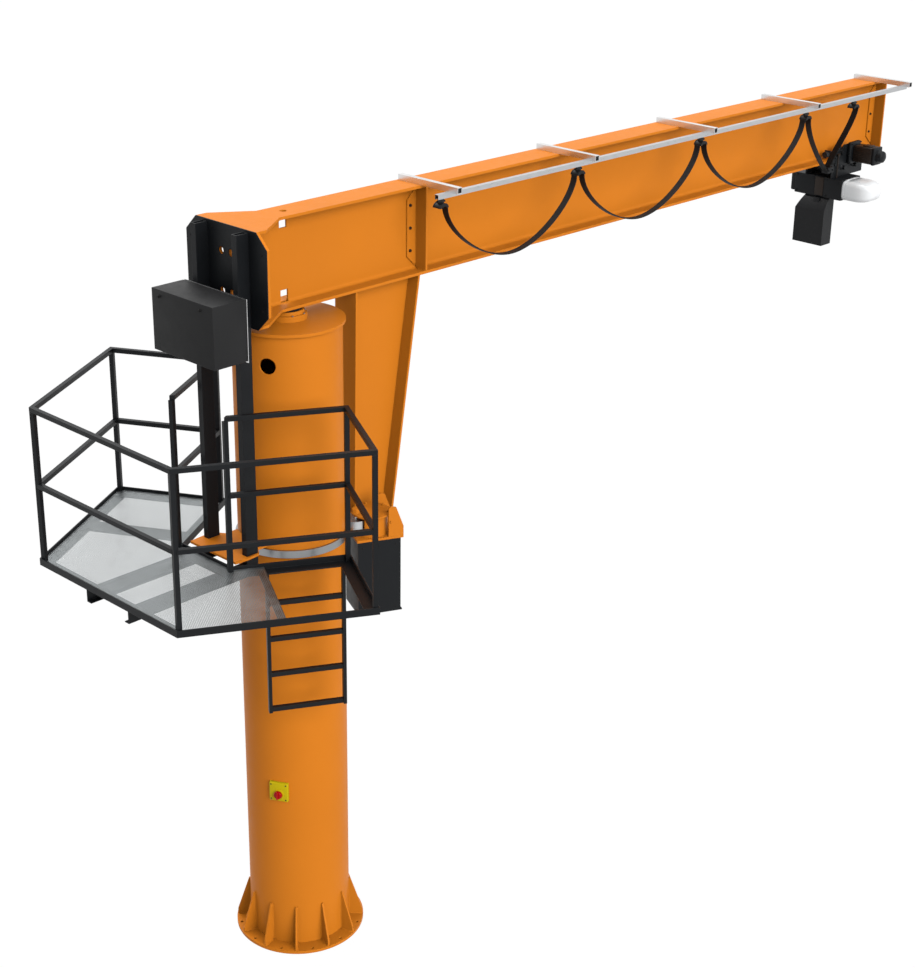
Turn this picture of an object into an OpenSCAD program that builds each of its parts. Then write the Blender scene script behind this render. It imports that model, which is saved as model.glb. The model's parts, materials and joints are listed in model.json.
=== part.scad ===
// Pillar-mounted slewing jib crane with a low-profile chain hoist, a festoon line and a rear
// maintenance platform. Millimetres, +Z up, boom along +X, origin on the column axis at the
// underside of the base plate.

/* [Base] */
// Diameter of the base plate
base_d = 903; // [880:1:1000]
// Thickness of the base plate
base_t = 22; // [15:1:40]
// Distance from the rim of the base plate to the anchor holes' centres
anchor_edge = 27.5; // [20:0.5:29]
// Number of anchor holes and of gussets
anchor_count = 12; // [8:1:16]
// Diameter of one anchor hole
anchor_hole_d = 20; // [14:1:26]
// Thickness of a base gusset
gusset_t = 14; // [8:1:20]
// Height of a gusset's tip above the floor
gusset_top = 325; // [200:5:450]
// Height of the upright toe of a gusset
gusset_toe = 40; // [20:1:60]
// Width of the blunt tip of a gusset
gusset_tip = 10; // [5:1:20]
// Distance from a gusset's toe to the rim of the base plate
gusset_inset = 6; // [2:1:15]

/* [Column] */
// Outside diameter of the column tube
column_d = 700; // [680:5:710]
// Wall of the column tube
column_wall = 12; // [8:1:20]
// Height of the top of the column tube
column_top = 4490; // [4400:10:4700]
// Thickness of the column's cap plate
cap_t = 20; // [10:1:30]
// How far the cap plate stands out past the tube
cap_lip = 20; // [10:1:30]
// Diameter of the cable outlet near the top
outlet_d = 105; // [60:5:140]
// Distance from the column's top down to the outlet's centre
outlet_drop = 192; // [120:2:300]
// Direction of the cable outlet around the column
outlet_az = -151.5; // [-180:0.5:-120]
// Height of the lower edge of the polished slew ring
ring_z = 3015; // [2990:5:3030]
// Height of the slew ring
ring_h = 50; // [30:2:80]
// Radial thickness of the slew ring
ring_t = 15; // [8:1:20]

/* [Main switch] */
// Direction of the main switch around the column
switch_az = -151.2; // [-180:0.2:-120]
// Height of the centre of the switch box
switch_z = 1262; // [1000:2:1600]
// Width of the switch box
switch_w = 133; // [100:1:160]
// Height of the switch box
switch_h = 142; // [100:1:180]
// How far the switch box stands out from the column
switch_depth = 55; // [40:1:90]
// Diameter of the rotary knob
knob_d = 57; // [40:1:70]
// Height of the knob's rim
knob_h = 16; // [10:1:30]
// How far the knob's axis lies below the middle of the box
knob_drop = 17; // [0:1:25]

/* [Pivot] */
// Diameter of the pivot flange on the cap
pivot_d = 260; // [200:5:320]
// Thickness of the pivot flange
pivot_t = 38; // [25:1:50]
// Diameter of the bearing under the beam
bearing_d = 190; // [150:5:195]
// Height of the bearing under the beam
bearing_h = 42; // [32:1:90]
// Diameter of the pivot pin
pin_d = 80; // [50:5:110]

/* [Beam] */
// Height of the beam section
beam_h = 600; // [560:10:640]
// Width of the beam's flanges
beam_w = 220; // [210:2:240]
// Thickness of the flanges
flange_t = 19; // [12:1:24]
// Thickness of the web
web_t = 12; // [8:1:18]
// Radius between web and flange
root_r = 24; // [12:1:30]
// Distance from the column axis to the beam's outer end
beam_reach = 6711; // [6680:10:7000]
// Distance from the column axis back to the front of the end plate
beam_back = 439; // [430:1:460]
// Diameter of the cable hole in the top flange
flange_hole_d = 45; // [30:1:70]
// Width of the web's cut-outs over the column
cope_w = 60; // [40:1:80]
// Height of the web's cut-outs over the column
cope_h = 84; // [50:1:110]
// Distance from the column axis to the front of the web's cut-outs
cope_x = 10; // [0:1:40]

/* [Beam fittings] */
// Half width of the end plate
end_half = 373; // [340:1:400]
// Thickness of the end plate
end_t = 20; // [12:1:30]
// Chamfer at the corners of the end plate
end_chamfer = 95; // [60:1:100]
// Thickness of the black plate on the end plate
backing_t = 6; // [3:1:12]
// Diameter of the four cable holes in the end plate
end_hole_d = 46; // [20:1:50]
// Length of the parallel part of a wing plate
wing_flat = 59; // [30:1:100]
// Length of a wing plate along the beam
wing_l = 309; // [200:5:400]
// Distance from the column axis to the inner web stiffener
stiffener_x = 1120; // [1110:5:1240]
// Thickness of the web stiffeners
stiffener_t = 15; // [8:1:20]
// Length of a doubler plate on the web
doubler_l = 80; // [50:1:110]
// Height of a doubler plate where it meets the stiffener
doubler_h = 501; // [400:1:510]
// Thickness of a doubler plate
doubler_t = 10; // [6:1:16]
// Diameter of the holes in the doubler plates
doubler_hole_d = 18; // [10:1:30]

/* [Leg] */
// Distance from the column axis to the leg's inner flange under the beam
leg_x = 501; // [485:5:560]
// How much nearer the column the inner flange stands at the foot
leg_lean = 27; // [0:1:60]
// Width of the leg's flanges
leg_w = 196; // [150:2:204]
// Thickness of the leg's flanges
leg_flange_t = 16; // [8:1:24]
// Thickness of the leg's web
leg_web_t = 12; // [8:1:20]
// Depth of the leg's web under the beam
leg_top_depth = 549; // [480:5:555]
// Depth of the leg's web at the foot
leg_foot_depth = 297; // [260:1:350]
// Height of the underside of the foot plate
foot_z = 2942; // [2930:1:2950]
// Thickness of the foot plate
foot_t = 16; // [10:1:20]

/* [Roller carriages] */
// Angle between the boom and each roller carriage
carriage_az = 25.3; // [24:0.1:30]
// Distance from the column axis to the inner end of a carriage
carriage_in = 411; // [400:1:425]
// Distance from the column axis to the outer end of a carriage
carriage_out = 735; // [720:1:760]
// Half width of a carriage
carriage_half = 125; // [118:1:130]
// Thickness of a carriage's cheek plates
cheek_t = 12; // [8:1:16]
// Length of a cheek plate
cheek_l = 105; // [80:1:110]
// Height of a cheek plate over the foot plate
cheek_h = 217; // [180:1:240]
// Diameter of the round roller housing
drum_d = 216; // [200:2:224]
// Distance from the column axis to the middle of the roller housing
drum_x = 550; // [540:1:555]
// Height of the roller housing over the foot plate
drum_h = 142; // [130:1:170]
// Diameter of the housing's cover plate
cover_d = 264; // [250:2:270]
// Thickness of the housing's cover plate
cover_t = 12; // [6:1:20]
// Wall of the roller housing
drum_wall = 10; // [6:1:14]
// Diameter of a guide roller
roller_d = 150; // [130:2:160]
// Height of a guide roller
roller_h = 70; // [60:2:90]
// Diameter of a roller's axle
axle_d = 36; // [24:1:44]

/* [Drive cover] */
// Length of the drive cover along the carriage
drive_l = 298; // [260:2:310]
// Width of the drive cover
drive_w = 275; // [240:1:290]
// Height of the drive cover
drive_h = 535; // [450:5:600]
// Distance from the column axis to the drive cover
drive_x = 417; // [412:1:440]
// Lip at the foot of the drive cover
drive_lip = 10; // [4:1:16]

/* [Rear rails] */
// Width of a rear rail
rail_w = 45; // [30:1:60]
// Depth of a rear rail
rail_depth = 91; // [60:1:110]
// Distance between the centres of the two rear rails
rail_pitch = 380; // [340:2:400]
// Height of the top of the rear rails
rail_top = 5175; // [5100:5:5190]
// Wall of a rear rail
rail_wall = 6; // [3:1:10]

/* [Control cabinet] */
// Width of the control cabinet
cabinet_w = 575; // [500:5:600]
// Depth of the control cabinet
cabinet_depth = 252; // [200:2:300]
// Height of the control cabinet
cabinet_h = 388; // [300:2:500]
// Height of the cabinet's underside
cabinet_z = 4420; // [4250:5:4600]
// Thickness of the cabinet's back plate
cabinet_back_t = 4; // [2:1:8]
// How far the back plate stands out past the cabinet
cabinet_back_lip = 6; // [2:1:15]

/* [Rear bracket] */
// Height of the underside of the rear bracket
bracket_z = 3092; // [3085:1:3150]
// Thickness of the rear bracket
bracket_t = 16; // [8:1:24]
// Distance from a rail's centre to the side of the rear bracket
bracket_edge = 34; // [26:1:50]
// Half width of the rear bracket at the column
bracket_nose = 160; // [120:2:200]
// Distance the rear bracket runs behind the rails
bracket_tail = 102; // [60:2:120]

/* [Platform] */
// Height of the walking surface
floor_z = 3080; // [3060:2:3084]
// Thickness of the grating
floor_t = 18; // [12:1:20]
// Distance from the column axis to the rear edge of the platform
deck_back = 1480; // [1400:5:1600]
// Half length of the rear edge of the platform
deck_back_half = 690; // [640:5:740]
// Angle at which the platform's wings turn forward
wing_turn = 30; // [28:0.5:32]
// Length of the outer edge of a wing
deck_wing_l = 1206; // [1150:2:1260]
// Depth of a wing
deck_wing_depth = 778; // [740:2:800]
// Distance from the column axis to the inner edge behind the column
deck_inner = 700; // [660:2:740]
// Height of the upright leg of the platform's angle frame
lip_h = 46; // [36:1:60]
// Width of the flat leg of the platform's angle frame
ledge_w = 80; // [60:1:95]
// Thickness of the angle frame
angle_t = 8; // [5:1:10]
// Length of the hatch opening along the near wing
hatch_l = 560; // [500:5:600]
// Width of a platform beam
deck_beam_w = 42; // [30:1:60]
// Height of a platform beam
deck_beam_h = 88; // [60:1:120]
// Wall of a platform beam
deck_beam_t = 6; // [4:1:10]

/* [Handrail] */
// Width of the handrail's square tube
tube_w = 30; // [20:1:40]
// Height of the top of the handrail over the walking surface
handrail_h = 1025; // [900:5:1150]
// Height of the middle rail's centre over the walking surface
mid_rail_h = 510; // [400:5:600]

/* [Ladder] */
// Outside width of the ladder
ladder_w = 512; // [400:2:540]
// Distance from the wing's front end to the ladder
ladder_inset = 42; // [42:1:60]
// Thickness of a ladder stile
stile_t = 22; // [15:1:30]
// Depth of a ladder stile
stile_depth = 40; // [30:1:50]
// Height of the foot of the ladder
ladder_foot = 2045; // [1900:5:2100]
// Side of a square rung
rung_w = 30; // [20:1:34]
// Number of rungs
rung_count = 4; // [3:1:4]
// Spacing of the rungs
rung_pitch = 253; // [230:1:270]

/* [Festoon] */
// Number of festoon arms
arm_count = 5; // [3:1:5]
// Distance from the last festoon arm to the beam's outer end
arm_tail = 181; // [150:1:260]
// Distance from the column axis to the first festoon arm
arm_x = 1090; // [1050:5:1100]
// Side of a festoon arm's square tube
arm_w = 40; // [30:1:50]
// Wall of a festoon arm
arm_wall = 4; // [2:1:6]
// Distance a festoon arm stands out from the beam's centre
arm_out = 440; // [400:5:500]
// Distance a festoon arm runs past the beam's centre
arm_in = 100; // [60:5:105]
// Distance from the beam's centre to the festoon rail
festoon_y = 350; // [300:5:380]
// Side of the festoon rail's channel section
festoon_w = 32; // [28:1:40]
// Wall of the festoon rail
festoon_wall = 3; // [2:0.5:4]
// Width of the slot in the festoon rail
festoon_slot = 12; // [10:1:16]
// Distance from the column axis to the start of the festoon rail
festoon_start = 971; // [950:1:980]
// Distance from the end of the festoon rail to the beam's outer end
festoon_tail = 110; // [60:5:180]
// Thickness of the pad between a festoon arm and the festoon rail
pad_t = 2; // [1:0.5:5]
// Outer radius of a cable saddle
saddle_r = 48; // [40:1:50]
// Width of a cable saddle
saddle_w = 62; // [50:1:70]
// Drop from the festoon rail to the foot of a saddle
saddle_drop = 56; // [54:1:70]
// Distance from the middle of the trolley back to its cable saddle
saddle_back = 353; // [330:1:380]
// Distance from the middle of the trolley back to the clamp that gathers its cables
clamp_back = 380; // [360:1:400]
// Distance from the beam's centre to that clamp
clamp_y = 170; // [150:1:190]
// Depth of that clamp's middle below the beam
clamp_drop = 30; // [20:1:60]
// Distance from the start of the festoon rail to the fixed cable clamp
clamp_in = 39; // [32:1:60]
// Drop of a hanging cable loop
loop_drop = 424; // [300:2:500]
// Width of the flat festoon cable
cable_w = 52; // [30:1:60]
// Thickness of the flat festoon cable
cable_t = 8; // [6:1:12]

/* [Trolley] */
// Distance from the beam's outer end back to the middle of the trolley
trolley_in = 541; // [520:1:700]
// Length of a trolley side plate
plate_l = 460; // [430:5:480]
// Thickness of a trolley side plate
plate_t = 10; // [6:1:14]
// Clearance between the beam's flange and a side plate
plate_gap = 10; // [6:1:20]
// Depth of the side plates below the beam
plate_drop = 135; // [125:1:160]
// Height of the side plates above the beam's underside
plate_rise = 130; // [115:1:150]
// Diameter of a trolley wheel
wheel_d = 100; // [80:1:110]
// Width of a trolley wheel
wheel_w = 34; // [24:1:40]
// Spacing of the trolley wheels
wheel_pitch = 220; // [190:5:250]
// Diameter of a wheel's axle
wheel_axle_d = 30; // [20:1:36]
// Spacing of the trolley's cross bars
bar_pitch = 176; // [150:2:190]
// Diameter of a cross bar
bar_d = 40; // [30:1:46]
// Depth of the cross bars below the beam
bar_drop = 57; // [45:1:64]
// Length of the travel motor
travel_l = 255; // [200:5:300]
// Height of the travel motor
travel_h = 140; // [120:2:160]
// Depth of the travel motor
travel_w = 120; // [90:2:140]
// Width of the travel motor's gear case
gear_w = 80; // [50:2:110]
// How far the gear case stands out past the motor
gear_step = 14; // [8:1:16]
// Diameter of a buffer
buffer_d = 50; // [40:1:60]

/* [Hoist] */
// Distance from the middle of the trolley back to the hoist body
hoist_back = 220; // [190:5:230]
// Distance from the hoist body's back to its chain
chain_in = 130; // [110:5:150]
// How far the chain container stands out behind the hoist body
bin_back = 50; // [20:5:80]
// Height of the slope at the top of the chain container
bin_slope = 113; // [60:1:140]
// How far that slope leans back
bin_lean = 70; // [30:1:90]
// How far the container's far shoulder leans in
bin_corner = 50; // [20:1:90]
// Distance from the beam's centre to the near side of the chain container
bin_side = 114; // [100:1:140]
// Width of the hoist body across the beam
hoist_w = 464; // [400:2:500]
// Length of the hoist body along the beam
hoist_l = 280; // [240:5:300]
// Height of the hoist body
hoist_h = 175; // [150:1:200]
// Diameter of the motor housing
motor_d = 172; // [140:2:174]
// Length of the motor housing
motor_l = 305; // [250:5:340]
// Depth of the hoist's end cover
cover_l = 50; // [30:1:80]
// Width of the chain container
bin_w = 289; // [220:1:300]
// Depth of the chain container
bin_l = 140; // [100:1:150]
// Height of the chain container
bin_h = 403; // [300:1:450]
// Diameter of the hoist chain's wire
wire_d = 11; // [8:0.5:12]
// Inner length of a chain link
link_l = 31; // [27:1:34]
// Number of chain links
link_count = 4; // [3:1:6]
// Radius of the hook's bowl, to the middle of its section
hook_r = 34; // [30:1:40]
// Thickness of the hook
hook_d = 20; // [16:1:24]

/* [Clearances] */
// Gap between a piece and the curved or welded piece that carries it
seat = 0.3; // [0.2:0.05:0.5]
// Gap that a turning or sliding fit needs
run = 0.1; // [0.1:0.05:0.3]
// Gap between the jib and the column it turns around
swing = 10; // [6:1:20]

/* [Hidden] */
$fn = 72;

orange = [0.93, 0.50, 0.12];
black = [0.10, 0.11, 0.12];
steel = [0.74, 0.75, 0.76];
eps = 1;

// Column and pivot
column_r = column_d / 2;
anchor_pcd = base_d - 2 * anchor_edge;
ring_r = column_r + ring_t;
cap_z = column_top + cap_t;
bearing_z = cap_z + pivot_t + seat;
beam_z = cap_z + pivot_t + bearing_h;
beam_top = beam_z + beam_h;
web_z0 = beam_z + flange_t;
web_z1 = beam_top - flange_t;

// End plate and the rails behind it
backing_x = -beam_back - end_t - backing_t;
rail_x = backing_x - rail_depth;
bracket_half = rail_pitch / 2 + bracket_edge;
cabinet_x = rail_x - cabinet_back_t - cabinet_depth;

// Leg and carriages
foot_top = foot_z + foot_t;
leg_web_x = leg_x + leg_flange_t;
roller_x = ring_r + run * 4 + roller_d / 2;
roller_z = ring_z + ring_h / 2 - roller_h / 2;
collar_d = axle_d + 16;
drive_top = foot_z - seat;

// Platform outline: the rear edge, two wings turned forward and the edge around the column
ledge_z = floor_z - floor_t - angle_t;
wing_dir = [cos(wing_turn), -sin(wing_turn)];
wing_out = [-sin(wing_turn), -cos(wing_turn)];
corner_c = [-deck_back, -deck_back_half];
corner_d = corner_c + wing_dir * deck_wing_l;
corner_e = corner_d - wing_out * deck_wing_depth;
corner_f = corner_e - wing_dir * ((corner_e[0] + deck_inner) / wing_dir[0]);
near_edge = [corner_c, corner_d, corner_e, corner_f];
far_edge = [for (i = [len(near_edge) - 1 : -1 : 0]) [near_edge[i][0], -near_edge[i][1]]];
deck_edge = concat(near_edge, far_edge);
hatch_x = deck_wing_l - hatch_l;

// Handrail
handrail_top_z = floor_z + handrail_h;
post_line = [for (i = [0 : len(deck_edge) - 1]) loop_point(deck_edge, i, post_inset(deck_edge, i))];
floor_inset = angle_t + 2;

// Ladder
ladder_far = deck_wing_l - ladder_inset;
ladder_near = ladder_far - ladder_w;

// Festoon line
festoon_top = beam_top - pad_t;
festoon_foot = festoon_top - festoon_w;
saddle_z = festoon_foot - saddle_drop;
saddle_end = saddle_r - 9;
festoon_l = beam_reach - festoon_tail - festoon_start;
arm_pitch = (beam_reach - arm_tail - arm_x) / (arm_count - 1);
trolley_x = beam_reach - trolley_in;
clamp_x = festoon_start + clamp_in;
last_saddle = trolley_x - saddle_back;
saddle_places = [for (share = [0.28042, 0.57083, 0.85625, 1]) clamp_x + share * (last_saddle - clamp_x)];
clamp_at = [trolley_x - clamp_back, -clamp_y, beam_z - clamp_drop];
loop_steps = 14;

// Half of a hanging loop: its slope at the saddle and at the foot, as shares of drop and span
loop_slope = 0.37;
loop_foot = 0.267;
// Cable from the last towed saddle to the clamp on the trolley
route_4 = let (a = [saddle_places[2] + saddle_end, -festoon_y, saddle_z], b = clamp_at - [25, 0, 0])
    bezier(a, a + [-5, 0, -140], b + [-125, -35, 80], b);
// Cable from the trolley's own saddle to the clamp on the trolley
route_5 = let (a = [last_saddle + saddle_end, -festoon_y, saddle_z], b = clamp_at + [8, 0, 25])
    bezier(a, a + [-21, 0, -130], b + [2, -30, 115], b);

// Trolley
plate_y = beam_w / 2 + plate_gap;
plate_z0 = beam_z - plate_drop;
plate_z1 = beam_z + plate_rise;
bar_z = beam_z - bar_drop;
wheel_z = web_z0 + seat + wheel_d / 2;
wheel_y = beam_w / 2 - 2;
hoist_top = plate_z0 - seat;
hoist_z = hoist_top - hoist_h;
hoist_x = trolley_x - hoist_back;
chain_x = hoist_x + chain_in;
bin_x = hoist_x - bin_back;
bin_y = -bin_side;
link_half = link_l / 2 + wire_d;
link_step = link_l - seat;
chain_z = hoist_z - seat - link_half;
block_z = chain_z - (link_count - 1) * link_step - link_half - seat;

function flip(p) = [p[0], -p[1]];
function unit(v) = v / norm(v);
function turn_left(v) = [-v[1], v[0]];

// Mitre vector at a corner between two plan directions, for an offset of one to the left
function mitre(a, b) = (turn_left(a) + turn_left(b)) / (1 + a * b);

// Point i of a closed loop of points moved to the left of the loop by d
function loop_point(p, i, d) =
    let (n = len(p), before = p[(i + n - 1) % n], here = p[i], after = p[(i + 1) % n])
    here + mitre(unit(here - before), unit(after - here)) * d;
function inset_loop(p, d) = [for (i = [0 : len(p) - 1]) loop_point(p, i, d)];

// Direction of the line that halves corner i of a closed loop
function half_way(p, i) = let (n = len(p), m = mitre(unit(p[i] - p[(i + n - 1) % n]), unit(p[(i + 1) % n] - p[i])))
    atan2(m[1], m[0]);
// Distance from the edges at which a square post, its diagonal halving the corner, clears both lips
function post_inset(p, i) =
    let (lean = half_way(p, i) - 45 - atan2((p[(i + 1) % len(p)] - p[i])[1], (p[(i + 1) % len(p)] - p[i])[0]))
    angle_t + seat + tube_w / 2 * (abs(cos(lean)) + abs(sin(lean)));

// Points of a smooth curve with two end points and two steering points
function bezier(a, b, c, d) = [for (i = [0 : loop_steps]) let (t = i / loop_steps, s = 1 - t)
    a * s ^ 3 + 3 * b * t * s ^ 2 + 3 * c * t ^ 2 * s + d * t ^ 3];

// Point at radial distance s and sideways offset c of the near roller carriage
function carriage_point(s, c) = [
    s * cos(carriage_az) - c * sin(carriage_az), -s * sin(carriage_az) - c * cos(carriage_az)];

// Point of the near wing, s along its outer edge and d in from that edge
function wing_point(s, d) = corner_c + wing_dir * s - wing_out * d;

module along_x(x0, x1) translate([x0, 0, 0]) rotate([90, 0, 90]) linear_extrude(x1 - x0) children();
module along_y(y0, y1) translate([0, y1, 0]) rotate([90, 0, 0]) linear_extrude(y1 - y0) children();
module along_z(z0, z1) translate([0, 0, z0]) linear_extrude(z1 - z0) children();
module block(low, high) translate(low) cube(high - low);
module both_sides() {
    children();
    mirror([0, 1, 0]) children();
}
module ring_of(count, start = 0) for (i = [0 : count - 1]) rotate([0, 0, start + i * 360 / count]) children();

// One straight run between points i and i + 1 of a closed loop, mitred, between two offsets
module loop_run(p, i, d0, d1, z0, z1) {
    n = len(p);
    j = (i + 1) % n;
    gap = unit(p[j] - p[i]) * seat / 2;
    along_z(z0, z1) polygon([
        loop_point(p, i, d0) + gap, loop_point(p, j, d0) - gap,
        loop_point(p, j, d1) - gap, loop_point(p, i, d1) + gap]);
}

// Flat cable swept along a route, its width staying across the boom
module cable(route, first, last) {
    n = len(route);
    tangents = [for (i = [0 : n - 1])
        i == 0 ? first : i == n - 1 ? last : unit(route[i + 1] - route[i - 1])];
    flat = cable_w / 2;
    thin = cable_t / 2;
    section = [[flat, thin / 2], [flat - thin / 2, thin], [thin / 2 - flat, thin], [-flat, thin / 2],
        [-flat, -thin / 2], [thin / 2 - flat, -thin], [flat - thin / 2, -thin], [flat, -thin / 2]];
    m = len(section);
    points = [for (i = [0 : n - 1]) let (
        normal = unit(cross(tangents[i], [0, 1, 0])), side = cross(normal, tangents[i]))
        for (q = section) route[i] + side * q[0] + normal * q[1]];
    sides = [for (i = [0 : n - 2]) for (k = [0 : m - 1])
        let (a = i * m + k, b = i * m + (k + 1) % m)
        for (t = [[a, b, a + m], [b, b + m, a + m]]) t];
    polyhedron(points, concat([[for (k = [m - 1 : -1 : 0]) k]], sides,
        [[for (k = [0 : m - 1]) (n - 1) * m + k]]));
}

module hanging_loop(x0, x1) {
    a = [x0, -festoon_y, saddle_z];
    b = [(x0 + x1) / 2, -festoon_y, saddle_z - loop_drop];
    half = bezier(a, a - [0, 0, loop_slope * loop_drop], b - [(0.5 - loop_foot) * (x1 - x0), 0, 0], b);
    down = [for (i = [0 : 2 : loop_steps]) half[i]];
    up = [for (i = [loop_steps - 2 : -2 : 0]) [x0 + x1 - half[i][0], half[i][1], half[i][2]]];
    color(black) cable(concat(down, up), [0, 0, -1], [0, 0, 1]);
}

// ---- Column ----
module base_plate() color(orange) difference() {
    along_z(0, base_t) circle(d = base_d, $fn = 144);
    ring_of(anchor_count) translate([anchor_pcd / 2, 0, -eps]) cylinder(d = anchor_hole_d, h = base_t + 2 * eps);
}

module base_gussets() color(orange) ring_of(anchor_count, 180 / anchor_count)
    along_y(-gusset_t / 2, gusset_t / 2) polygon([
        [column_r + seat, base_t], [base_d / 2 - gusset_inset, base_t],
        [base_d / 2 - gusset_inset, base_t + gusset_toe],
        [column_r + seat + gusset_tip, gusset_top], [column_r + seat, gusset_top]]);

module column_tube() color(orange) difference() {
    along_z(base_t, column_top) circle(r = column_r, $fn = 144);
    along_z(base_t - eps, column_top + eps) circle(r = column_r - column_wall, $fn = 144);
    rotate([0, 0, outlet_az]) translate([0, 0, column_top - outlet_drop]) rotate([0, 90, 0])
        cylinder(d = outlet_d, h = column_r + eps);
}

module slew_ring() color(steel) along_z(ring_z, ring_z + ring_h) difference() {
    circle(r = ring_r, $fn = 144);
    circle(r = column_r + seat, $fn = 144);
}

module column_cap() color(orange) along_z(column_top, cap_z) circle(r = column_r + cap_lip, $fn = 144);

module pivot_flange() color(orange) {
    along_z(cap_z, cap_z + pivot_t) circle(d = pivot_d);
    along_z(cap_z + pivot_t, beam_z - 4) circle(d = pin_d);
}

module at_switch(z) rotate([0, 0, switch_az]) translate([0, 0, z]) children();
module main_switch_box() color([0.80, 0.72, 0.05]) difference() {
    at_switch(switch_z) {
        block([column_r - 15, -switch_w / 2, -switch_h / 2],
            [column_r + switch_depth, switch_w / 2, switch_h / 2]);
        translate([column_r + switch_depth, 0, -knob_drop]) rotate([0, 90, 0])
            cylinder(d = knob_d + 14, h = 6);
    }
    along_z(switch_z - switch_h, switch_z + switch_h) circle(r = column_r + seat, $fn = 144);
    at_switch(switch_z - knob_drop) translate([column_r + 15, 0, 0]) rotate([0, 90, 0])
        cylinder(r = 8 + run, h = switch_depth);
}

module switch_knob() color([0.80, 0.05, 0.05])
    at_switch(switch_z - knob_drop) translate([column_r + switch_depth + 6.5, 0, 0]) rotate([0, 90, 0]) {
        cylinder(d = knob_d, h = knob_h);
        translate([0, 0, -30]) cylinder(r = 8, h = 31);
        translate([-knob_d / 2 + 4, -7, knob_h]) cube([knob_d - 8, 14, 12]);
    }

// ---- Beam and end plate ----
module beam_section() {
    for (z = [beam_z, web_z1]) translate([-beam_w / 2, z]) square([beam_w, flange_t]);
    translate([-web_t / 2, beam_z + flange_t / 2]) square([web_t, beam_h - flange_t]);
    for (sy = [-1, 1], top = [0, 1]) {
        translate([sy * web_t / 2, top == 1 ? web_z1 : web_z0]) scale([sy, top == 1 ? -1 : 1])
            difference() {
                square(root_r);
                translate([root_r, root_r]) circle(root_r);
            }
    }
}

module jib_beam() color(orange) difference() {
    along_x(-beam_back, beam_reach) beam_section();
    for (z = [beam_z, web_z1]) translate([-10, 0, z - eps])
        cylinder(d = flange_hole_d, h = flange_t + 2 * eps);
    block([cope_x - cope_w, -web_t, web_z1 - cope_h], [cope_x, web_t, web_z1]);
    block([cope_x - cope_w, -web_t, web_z0], [cope_x, web_t, web_z0 + cope_h]);
}

module end_outline() difference() {
    polygon([
        [-end_half, beam_z + end_chamfer], [-end_half + end_chamfer, beam_z],
        [end_half - end_chamfer, beam_z], [end_half, beam_z + end_chamfer],
        [end_half, beam_top - end_chamfer], [end_half - end_chamfer, beam_top],
        [-end_half + end_chamfer, beam_top], [-end_half, beam_top - end_chamfer]]);
    for (y = [-45, 45], z = [0.3, 0.717]) translate([y, beam_z + z * beam_h]) circle(d = end_hole_d);
}
module end_plate() color(orange) along_x(-beam_back - end_t, -beam_back) end_outline();
module rail_mount_plate() color(black) along_x(backing_x, backing_x + backing_t) end_outline();

module wing_plates() color(orange) for (z = [beam_z, web_z1]) both_sides() along_z(z, z + flange_t)
    polygon([
        [-beam_back, beam_w / 2], [-beam_back + wing_l, beam_w / 2],
        [-beam_back + wing_flat, end_half - end_chamfer], [-beam_back, end_half - end_chamfer]]);

module stiffener() along_x(0, stiffener_t) polygon([
    [web_t / 2, web_z0 + root_r], [web_t / 2 + root_r, web_z0], [beam_w / 2, web_z0],
    [beam_w / 2, web_z1], [web_t / 2 + root_r, web_z1], [web_t / 2, web_z1 - root_r]]);
module web_stiffeners() color(orange) for (x = [stiffener_x, beam_reach - stiffener_t])
    translate([x, 0, 0]) both_sides() stiffener();

module doubler() {
    mid = (web_z0 + web_z1) / 2;
    half = doubler_h / 2;
    along_y(web_t / 2, web_t / 2 + doubler_t) difference() {
        polygon([
            [-doubler_l, mid + half - 61], [-doubler_l, mid - half + 61], [-16, mid - half],
            [0, mid - half], [0, mid + half], [-16, mid + half]]);
        for (dz = [-152, 0, 152]) translate([-doubler_l + 27, mid + dz]) circle(d = doubler_hole_d);
    }
}
module web_doublers() color(orange) for (x = [stiffener_x, beam_reach - stiffener_t])
    translate([x, 0, 0]) both_sides() doubler();

// ---- Leg ----
module leg_web() color(orange) along_y(-leg_web_t / 2, leg_web_t / 2) polygon([
    [leg_web_x, beam_z], [leg_web_x + leg_top_depth, beam_z],
    [leg_web_x + leg_foot_depth, foot_top], [leg_web_x - leg_lean, foot_top]]);

module leg_flanges() color(orange) {
    along_y(-leg_w / 2, leg_w / 2) polygon([
        [leg_x, beam_z], [leg_web_x, beam_z], [leg_web_x - leg_lean, foot_top], [leg_x - leg_lean, foot_top]]);
    along_y(-leg_w / 2, leg_w / 2) polygon([
        [leg_web_x + leg_top_depth, beam_z], [leg_web_x + leg_top_depth + leg_flange_t, beam_z],
        [leg_web_x + leg_foot_depth + leg_flange_t, foot_top], [leg_web_x + leg_foot_depth, foot_top]]);
}

module foot_plate() color(orange) along_z(foot_z, foot_top) {
    toe = [leg_web_x + leg_foot_depth + leg_flange_t + 20, -leg_w / 2 - 15];
    near = [carriage_point(carriage_in, carriage_half), carriage_point(carriage_out, carriage_half),
        carriage_point(carriage_out, -carriage_half), toe];
    heel = carriage_point(carriage_in, -carriage_half);
    polygon(concat([heel], near, [for (i = [3 : -1 : 0]) flip(near[i])], [flip(heel)]));
}

module pivot_bearing() color(black) along_z(bearing_z, beam_z) difference() {
    circle(d = bearing_d);
    circle(d = pin_d + 2 * run);
}

// ---- Roller carriages ----
module at_carriages() both_sides() rotate([0, 0, -carriage_az]) children();

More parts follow.
